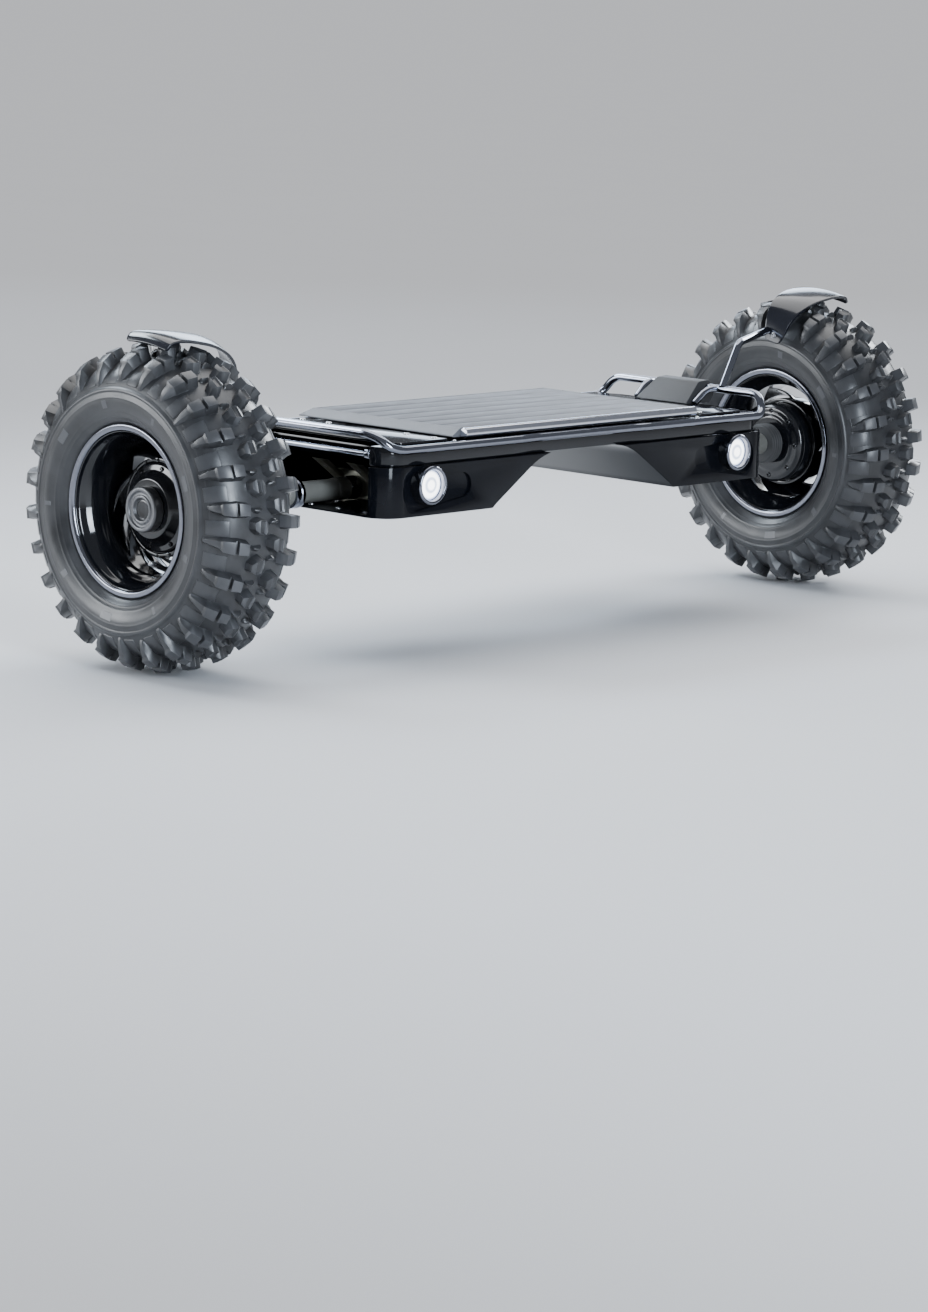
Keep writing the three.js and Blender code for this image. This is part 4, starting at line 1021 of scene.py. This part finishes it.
def deck():
    low, high = board_low, board_high
    pitch = (high.y - low.y) / SLAT_COUNT
    parts = [cuboid((low.x, low.y, low.z), (high.x, high.y, low.z + 1.5))]
    for k in range(SLAT_COUNT):
        y0, y1 = low.y + k * pitch + SEAM / 2, low.y + (k + 1) * pitch - SEAM / 2
        parts.append(bevelled(cuboid((low.x, y0, low.z + 1), (high.x, y1, high.z)), 0.9, 3))
    make("deck_slats", join(*parts), "deck", SLATS, "deck_board")

    bottom, top = board_low.z - 3.3, board_high.z
    long, deep = high.x + 0.3, high.y + 0.3
    lip = rounded([(0, bottom), (BEVEL_RUN, bottom), (BEVEL_RUN, bottom + 1.5), (2, top), (0, top)],
                  0.6, 2, closed=True)
    rings = [[(-long - a, low.y, z) for a, z in lip], [(-long - a, deep + a, z) for a, z in lip],
             [(long + a, deep + a, z) for a, z in lip], [(long + a, low.y, z) for a, z in lip]]
    tray = cuboid((-long - 1, low.y, bottom), (long + 1, high.y + 1, bottom + 3))
    posts = [rod(214, bottom + 1, POST_RADIUS, 32, "Z", (x, y, 0), 0.4, 2) for x, y in GUIDE_POSTS]
    make("deck_frame", join(skin(rings), tray, *posts), "deck", BORDER,
         "deck_border")

    low, high = corners("deck_front_rail")
    _, y, z = middle("deck_front_rail")
    rail = bar([(low.x, y, z), (0, y, z), (high.x, y, z)], (high.z - low.z) / 2, 28, 0.5)
    make("deck_rail", rail, "deck", BRIGHT, "deck_front_rail", crease=40)


# ---- rear controls ----------------------------------------------------------------------------
def power_key():
    x, _, z = middle("power_button")
    radius = corners("power_button")[1].x - x
    button = turned([(114, 0), (114, radius), (116.6, radius), (116.6, radius - 2),
                     (124.4, radius - 2), (125, radius - 3), (124.2, radius - 5), (124.2, 0)],
                    64, "Y", (x, 0, z), rounding=0.5)
    make("power_key", button, "power_button", SATIN, "power_button")


def charge_port():
    """The charging socket with three pins, and the rubber cap hinged above it."""
    x, _, z = middle("charge_socket")
    face = corners("charge_socket")[1].y
    socket = turned([(104, 0), (104, 10), (face - 1.3, 10), (face - 1.3, 12), (face, 12),
                     (face, 7), (110, 7), (110, 0)], 64, "Y", (x, 0, z), rounding=0.4, steps=2)
    make("charge_port", socket, "chassis", SATIN, "charge_socket")
    pins = [turned([(109, 0), (109, 1.1), (119.4, 1.1), (120, 0.6), (120, 0)], 20, "Y",
                   (pin_x, 0, pin_z))
            for pin_x, pin_z in arc(x, z, 3.4, QUARTER, math.pi * 4 / 3, 2)]
    make("charge_pins", join(*pins), "chassis", STEEL)
    near, far = corners("charge_cap")[0].y, 127
    disc = turned([(near, 0), (near, 12), (far - 0.6, 12), (far, 11.2), (far, 8.6),
                   (far - 0.7, 8), (far - 0.7, 0)], 64, "Y", (x, 0, z), rounding=0.4, steps=2)
    tab = bevelled(cuboid((x - 4, near, z + 8), (x + 4, far, z + 15)), 0.6)
    barrel = rod(-6, 6, 2, 24, "X", (x, 126.2, z + 15), 0.4, 2)
    make("charge_flap", join(disc, tab, barrel), "charge_cap", SOFT_RUBBER,
         "charge_cap")


# ---- what is inside keeps its CAD shape --------------------------------------------------------
def finish(node, material):
    """Gives a CAD node a material of its own."""
    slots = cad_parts[node].data.materials
    slots.clear()
    slots.append(material)


def inner_finishes():
    for end in ENDS:
        for part in ("outer_bearing", "inner_bearing", "magnet_ring", "axle_shaft", "axle_nut"):
            finish(f"{end}_{part}", STEEL)
        finish(f"{end}_stator", COPPER)
        finish(f"{end}_battery", SATIN)
    finish("control_board", BOARD)


for end_name in ENDS:
    for build in (tyre, rim, valve_stem, motor, boot, sleeve, knob, clamp, yoke, fender, hoop,
                  end_rail, strut, pod, headlight):
        build(end_name)
handle()
side_rail("front_tube", "front_rail", -1)
side_rail("rear_tube", "rear_rail", 1)
plate()
deck()
power_key()
charge_port()
inner_finishes()


# ---- studio -----------------------------------------------------------------------------------
def aimed(name, data, place, target):
    """A camera or a lamp at a place, looking at a target."""
    thing = placed(name, data)
    thing.location = place
    thing.rotation_euler = (Vector(target) - Vector(place)).to_track_quat("-Z", "Y").to_euler()
    return thing


def camera():
    """Looks along the board from its left front corner, a little above the deck."""
    data = bpy.data.cameras.new("camera")
    data.lens = 109.88
    data.sensor_width = 36
    data.clip_end = 400
    thing = aimed("camera", data, (-3.1027, -2.9669, 0.7148), (-1.2427, -1.1574, 0.2593))
    thing.rotation_euler.rotate_axis("Z", math.radians(1.423))
    bpy.context.scene.camera = thing


def softbox(name, place, target, width, height, power, colour=(1, 1, 1)):
    data = bpy.data.lights.new(name, "AREA")
    data.shape = "RECTANGLE"
    data.size, data.size_y = width, height
    data.energy = power
    data.color = colour
    data.spread = math.radians(70)
    aimed(name, data, place, target)


def floor():
    """A pale sweep that the tyres stand on."""
    reach = 150.0
    bm = bmesh.new()
    bmesh.ops.create_grid(bm, x_segments=4, y_segments=4, size=reach)
    thing = placed("floor", stored("floor", bm))
    n = Nodes("floor")
    pale = n.mixed(n.noise(3), (0.6, 0.605, 0.62), (0.62, 0.625, 0.64))
    thing.data.materials.append(n.set(Base_Color=pale, Roughness=0.8, Specular_IOR_Level=0.2))


def sky():
    world = bpy.data.worlds.new("studio")
    bpy.context.scene.world = world
    world.use_nodes = True
    back = world.node_tree.nodes["Background"]
    back.inputs["Color"].default_value = (0.66, 0.69, 0.75, 1)
    back.inputs["Strength"].default_value = 0.4


def daylight(direction, strength, width):
    """An even, wide light from a direction, which leaves soft shadows."""
    data = bpy.data.lights.new("daylight", "SUN")
    data.energy = strength
    data.angle = math.radians(width)
    aimed("daylight", data, direction, (0, 0, 0))


camera()
floor()
sky()
daylight((0.7, 0.6, 2.2), 2.5, 60)
softbox("key", (-0.3, 2.0, 2.0), (0, 0, 0.15), 2.4, 0.6, 13, (0.8, 0.9, 1))
softbox("rear", (3.9, 3.6, 1.75), (0, 0, 0.25), 3.4, 1.5, 13, (0.72, 0.84, 1))
softbox("right", (3.0, 0.4, 1.6), (0.2, 0, 0.25), 1.6, 1.1, 16, (0.9, 0.95, 1))
softbox("left", (-2.7, 2.1, 0.9), (-0.5, 0, 0.2), 1.5, 1.4, 13, (0.92, 0.96, 1))
softbox("front", (-1.25, -3.0, 1.1), (-0.4, 0, 0.2), 0.7, 2.0, 24, (0.78, 0.88, 1))
